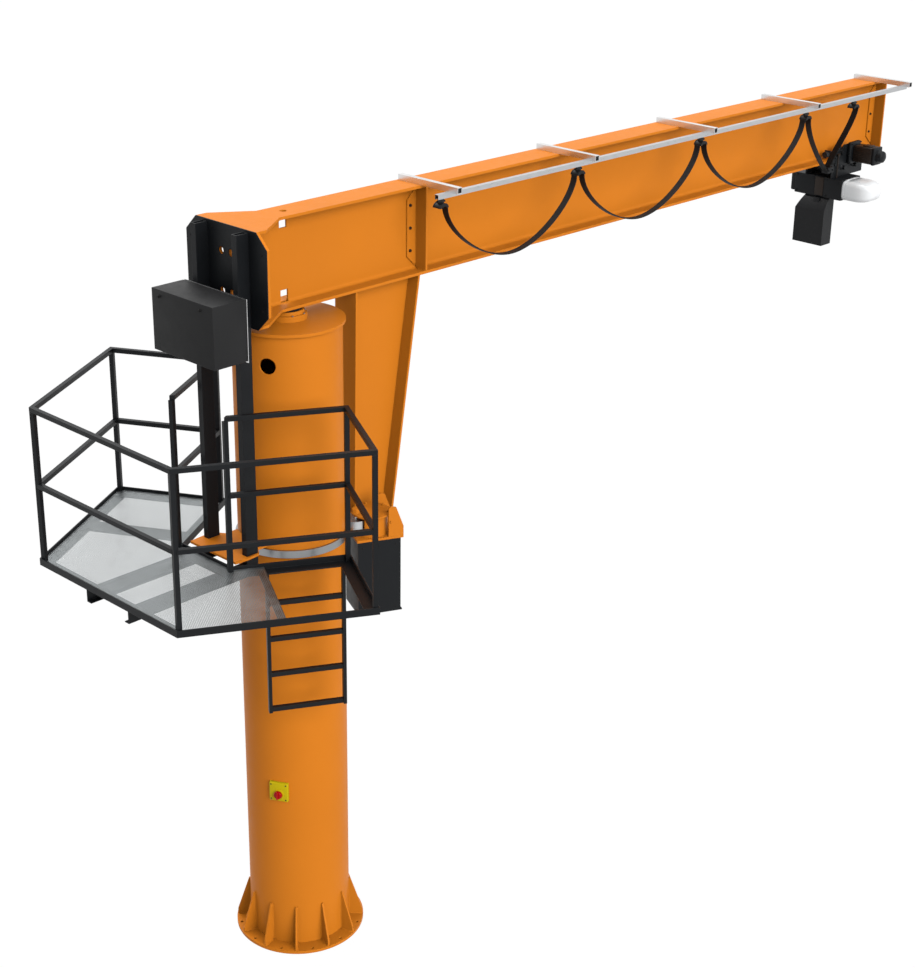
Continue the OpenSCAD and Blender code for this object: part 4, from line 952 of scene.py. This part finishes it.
def makeHook(s, top):
    bm = newPiece()
    x, half, foot = top.x, s["half"], top.z - s["height"]
    addRoundBlock(bm, (x - 0.028, -half, foot), (x - 0.001, half, top.z), 0.010, 3)
    addRoundBlock(bm, (x + 0.001, -half, foot), (x + 0.028, half, top.z), 0.010, 3)
    for y in (-0.022, 0.022):
        for z in (top.z - 0.018, top.z - 0.072):
            for side in (-1, 1):
                addBolt(bm, (x + side * 0.028, y, z), (side, 0, 0), 0.007)
    collar = [(0.016, 0), (0.016, 0.012), (0.011, 0.014), (0.011, 0.030)]
    addLathe(bm, collar, turned((0, 0, -1), (x, 0, foot)), 24)
    middle = top - Vector((0, 0, s["bowlDrop"]))
    path, sizes = [top - Vector((0, 0, drop)) for drop in (0.100, 0.112)], [s["thick"]] * 2
    for k in range(34):  # round the bowl, thicker in its belly and thin at the point
        y, z = onCircle(s["bowl"], math.radians(90 - k * s["sweep"] / 33))
        path.append(middle + Vector((0, -y, z)))
        belly = 0.0026 * math.sin(math.pi * min(1, k / 22))
        sizes.append(s["thick"] + belly - (0.0055 * max(0, (k - 24) / 9) ** 1.5))
    addTube(bm, path, sizes, 16)
    finishPiece(bm, "hookBlock", "black_paint", "trolley", ("hook",))


makeHook(hookSettings, makeChain(chainSettings))
print("hoist, trolley and hook made")

# cabinet and switch
cabinetSettings = {
    "lid": 0.012, "lidIn": 0.003, "lock": 0.0075,
    "gland": [(0.016, 0), (0.016, 0.012), (0.013, 0.014), (0.013, 0.030), (0.008, 0.034), (0, 0.034)],
}
switchSettings = {
    "width": 0.133, "height": 0.142, "deep": 0.020, "drop": 0.017, "turn": -151.2, "z": 1.262,
    "column": 0.350,
    "collar": [(0.037, 0), (0.037, 0.003), (0.0355, 0.006), (0.030, 0.006), (0.030, 0.004), (0.009, 0.004)],
    "screw": [(0.0052, 0), (0.0052, 0.0015), (0.0040, 0.0026), (0, 0.0028)],
    "knob": [(0.0295, 0.0068), (0.0295, 0.010), (0.0265, 0.020), (0.0245, 0.0225), (0, 0.0225)],
}


def makeCabinet(s):
    low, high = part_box("cabinet")
    bm = newPiece()
    seam, inset = high.x - s["lid"], s["lidIn"]
    addRoundBlock(bm, low, (seam, high.y, high.z), 0.003, 3)
    addBlock(bm, (seam - 0.001, low.y + inset, low.z + inset), (high.x, high.y - inset, high.z - inset))
    for y in (low.y + 0.09, high.y - 0.09):  # cable glands under the cabinet
        addLathe(bm, s["gland"], turned((0, 0, -1), (low.x + 0.13, y, low.z)), 20)
    finishPiece(bm, "cabinetCase", "cabinet_paint", "jib", ("cabinet",))
    bm = newPiece()
    r = s["lock"]
    outline = [(r * 1.35, 0), (r * 1.35, 0.003), (r, 0.005), (r, 0.012), (r * 0.8, 0.014), (0, 0.014)]
    for y in (low.y + 0.115, high.y - 0.075):
        addLathe(bm, outline, turned((-1, 0, 0), (low.x - 0.0005, y, high.z - 0.040)), 20)
    finishPiece(bm, "cabinetLocks", "cable_rubber", "jib")


def makeSwitch(s):
    facing = Matrix.Rotation(math.radians(s["turn"]), 4, "Z")
    outward = facing @ Vector((1, 0, 0))
    face, knobZ = s["column"] + s["deep"], s["z"] - s["drop"]
    halfY, halfZ = s["width"] / 2, s["height"] / 2
    knobPlace = turned(outward, facing @ Vector((face, 0, knobZ)))
    bm = newPiece()
    low, high = (s["column"] - 0.009, -halfY, s["z"] - halfZ), (face, halfY, s["z"] + halfZ)
    addRoundBlock(bm, low, high, 0.0065, 3, facing)
    addLathe(bm, s["collar"], knobPlace, 40)
    finishPiece(bm, "switchBox", "yellow_plastic", "column", ("main_switch_box",))
    bm = newPiece()
    for dy in (-0.052, 0.052):
        for dz in (-0.056, 0.056):
            at = facing @ Vector((face - 0.0003, dy, s["z"] + dz))
            addLathe(bm, s["screw"], turned(outward, at), 14)
    finishPiece(bm, "switchScrews", "black_plastic", "column")
    bm = newPiece()
    addLathe(bm, s["knob"], knobPlace, 48)
    low, high = (face + 0.0215, -0.0070, -0.0250), (face + 0.0345, 0.0070, 0.0250)
    addRoundBlock(bm, low, high, 0.0030, 3, facing @ Matrix.Translation((0, 0, knobZ)))
    finishPiece(bm, "switchKnob", "red_plastic", "switch_knob", ("switch_knob",))


makeCabinet(cabinetSettings)
makeSwitch(switchSettings)
print("cabinet and switch made")

# bolts, screws and weld seams
pivotSettings = {
    "step": [(0.1120, 0), (0.1120, 0.020), (0.1090, 0.023), (0.0975, 0.023), (0.0975, 0)], "stepZ": 4.5475,
    "bolts": 8, "first": 22.5, "circle": 0.1210, "boltZ": 4.548, "bolt": 0.0065,
}


def makePivotTrim(s):
    bm = newPiece()  # step on the pivot flange, round the bearing
    addLathe(bm, s["step"], Matrix.Translation((0, 0, s["stepZ"])), 72)
    finishPiece(bm, "pivotStep", "orange_paint", "column")
    bm = newPiece()
    for k in range(s["bolts"]):
        x, y = onCircle(s["circle"], math.radians(s["first"] + 360 / s["bolts"] * k))
        addBolt(bm, (x, y, s["boltZ"]), (0, 0, 1), s["bolt"])
    finishPiece(bm, "pivotBolts", "bright_steel", "column")


# each carriage is drawn on the X axis and turned to its side of the leg
carriageSettings = {
    "turn": 25.3, "cheek": (0.645, 0.125, 3.065), "drumX": 0.550, "coverZ": 3.112, "circle": 0.116,
    "axleX": 0.4404, "axleFoot": 2.942,
}
carriageTurn = {
    side: Matrix.Rotation(math.radians(-carriageSettings["turn"] * side), 4, "Z") for side in (1, -1)}


def makeCarriageBolts(s):
    bm = newPiece()
    x, y, z = s["cheek"]
    for spin in carriageTurn.values():
        for side in (-1, 1):
            addBolt(bm, spin @ Vector((x, side * y, z)), spin @ Vector((0, side, 0)), 0.008)
        for k in range(6):
            dx, dy = onCircle(s["circle"], math.radians(60 * k + 30))
            if abs(s["drumX"] + dx - s["axleX"]) > 0.05:  # none beside the axle's nut
                addBolt(bm, spin @ Vector((s["drumX"] + dx, dy, s["coverZ"])), (0, 0, 1), 0.010)
    finishPiece(bm, "carriageBolts", "orange_paint", "jib")
    bm = newPiece()
    for spin in carriageTurn.values():
        addBolt(bm, spin @ Vector((s["axleX"], 0, s["coverZ"])), (0, 0, 1), 0.030)
        addBolt(bm, spin @ Vector((s["axleX"], 0, s["axleFoot"])), (0, 0, -1), 0.026)
    finishPiece(bm, "rollerNuts", "orange_paint", "jib")


screwSettings = {
    "size": 0.0055, "railY": 0.190, "railZ": (3.160, 3.250, 4.460, 4.760),
    "plate": ((-0.330, 4.720), (-0.330, 5.060), (0.330, 4.720), (0.330, 5.060),
              (-0.120, 5.150), (0.120, 5.150), (-0.120, 4.640), (0.120, 4.640)),
    "head": [(0.0055, 0), (0.0055, 0.002), (0.004, 0.003), (0, 0.003)],
    "coverX": (0.450, 0.565, 0.680), "coverY": -0.125, "coverZ": (2.440, 2.900),
}


def makeScrews(s):
    bm = newPiece()  # screws of the black plate, the rails and the drive cover
    plateX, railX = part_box("rail_mount_plate")[0].x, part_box("rear_rails")[0].x
    for y, z in s["plate"]:
        addBolt(bm, (plateX, y, z), (-1, 0, 0), s["size"])
    for y in (-s["railY"], s["railY"]):
        for z in s["railZ"]:
            addBolt(bm, (railX, y, z), (-1, 0, 0), s["size"])
    spin = carriageTurn[1]
    for x in s["coverX"]:
        for z in s["coverZ"]:
            place = turned(spin @ Vector((0, -1, 0)), spin @ Vector((x, s["coverY"], z)))
            addLathe(bm, s["head"], place, 14)
    finishPiece(bm, "blackScrews", "cable_rubber", "jib")


stiffenerX = (1.120, beamEnd - 0.015)
doublerSettings = {"back": 0.053, "side": 0.016, "z": 4.890, "pitch": 0.152}


def makeDoublerBolts(s):
    bm = newPiece()
    for x in stiffenerX:
        for side in (-1, 1):
            for dz in (-s["pitch"], 0, s["pitch"]):
                addBolt(bm, (x - s["back"], side * s["side"], s["z"] + dz), (0, side, 0), 0.010)
    # the heads take the dark brown motor paint, not the doubler's orange: painted shade, dark like holes in
    # the plate
    finishPiece(bm, "doublerBolts", "motor_paint", "jib")


makePivotTrim(pivotSettings)
makeCarriageBolts(carriageSettings)
makeScrews(screwSettings)
makeDoublerBolts(doublerSettings)

# weld seams
weldSettings = {
    "size": 0.005, "plateSize": 0.0045, "ringSize": 0.003, "bead": 0.012, "low": 0.82, "gussets": 12,
}


def weld(bm, path, size, s):  # a beaded seam along straight stretches
    dense = []
    for a, b in zip(path, path[1:]):
        a, b = Vector(a), Vector(b)
        count = max(1, int((b - a).length / s["bead"]))
        dense += [a.lerp(b, i / count) for i in range(count)]
    dense.append(Vector(path[-1]))
    addTube(bm, dense, [size * (1 if i % 2 else s["low"]) for i in range(len(dense))], 6)


def makeColumnWelds(s):
    bm = newPiece()
    for k in range(s["gussets"]):
        spin = Matrix.Rotation(math.radians(15 + 360 / s["gussets"] * k), 4, "Z")
        for y in (-0.0075, 0.0075):
            for path in (((0.350, y, 0.318), (0.350, y, 0.024)), ((0.354, y, 0.0225), (0.442, y, 0.0225))):
                weld(bm, [spin @ Vector(p) for p in path], s["size"], s)
    ring = [(*onCircle(0.3505, math.radians(t)), 4.489) for t in range(0, 361, 3)]
    weld(bm, ring, s["ringSize"], s)
    finishPiece(bm, "columnWelds", "orange_paint", "column", sharp=180)


def makeBeamWelds(s):
    bm = newPiece()
    plates = (1.120, 1.135, beamEnd - 0.015)
    seams = [((x, 0.008, 4.640), (x, 0.008, 5.140)) for x in plates]
    seams += [((x, 0.036, 4.6095), (x, 0.108, 4.6095)) for x in plates]
    seams += [
        ((0.491, 0.0065, 2.960), (0.518, 0.0065, 4.588)),  # leg's web along its inner flange
        ((0.520, 0.0065, 4.589), (1.060, 0.0065, 4.589)),  # leg's web under the beam
        ((0.5005, 0.092, 4.5895), (0.5005, 0, 4.5895)),  # leg's inner flange under the beam
    ]
    for x in (0.4735, 0.4905):  # both faces of the inner flange, at its foot
        seams.append(((x, 0.004, 2.9585), (x, 0.094, 2.9585)))
    for side in (-1, 1):
        weld(bm, [(-0.4385, side * 0.006, 4.640), (-0.4385, side * 0.006, 5.140)], s["size"], s)
        for seam in seams:
            weld(bm, [(x, side * y, z) for x, y, z in seam], s["plateSize"], s)
    finishPiece(bm, "beamWelds", "orange_paint", "jib", sharp=180)


makeColumnWelds(weldSettings)
makeBeamWelds(weldSettings)
print("bolts and welds made")
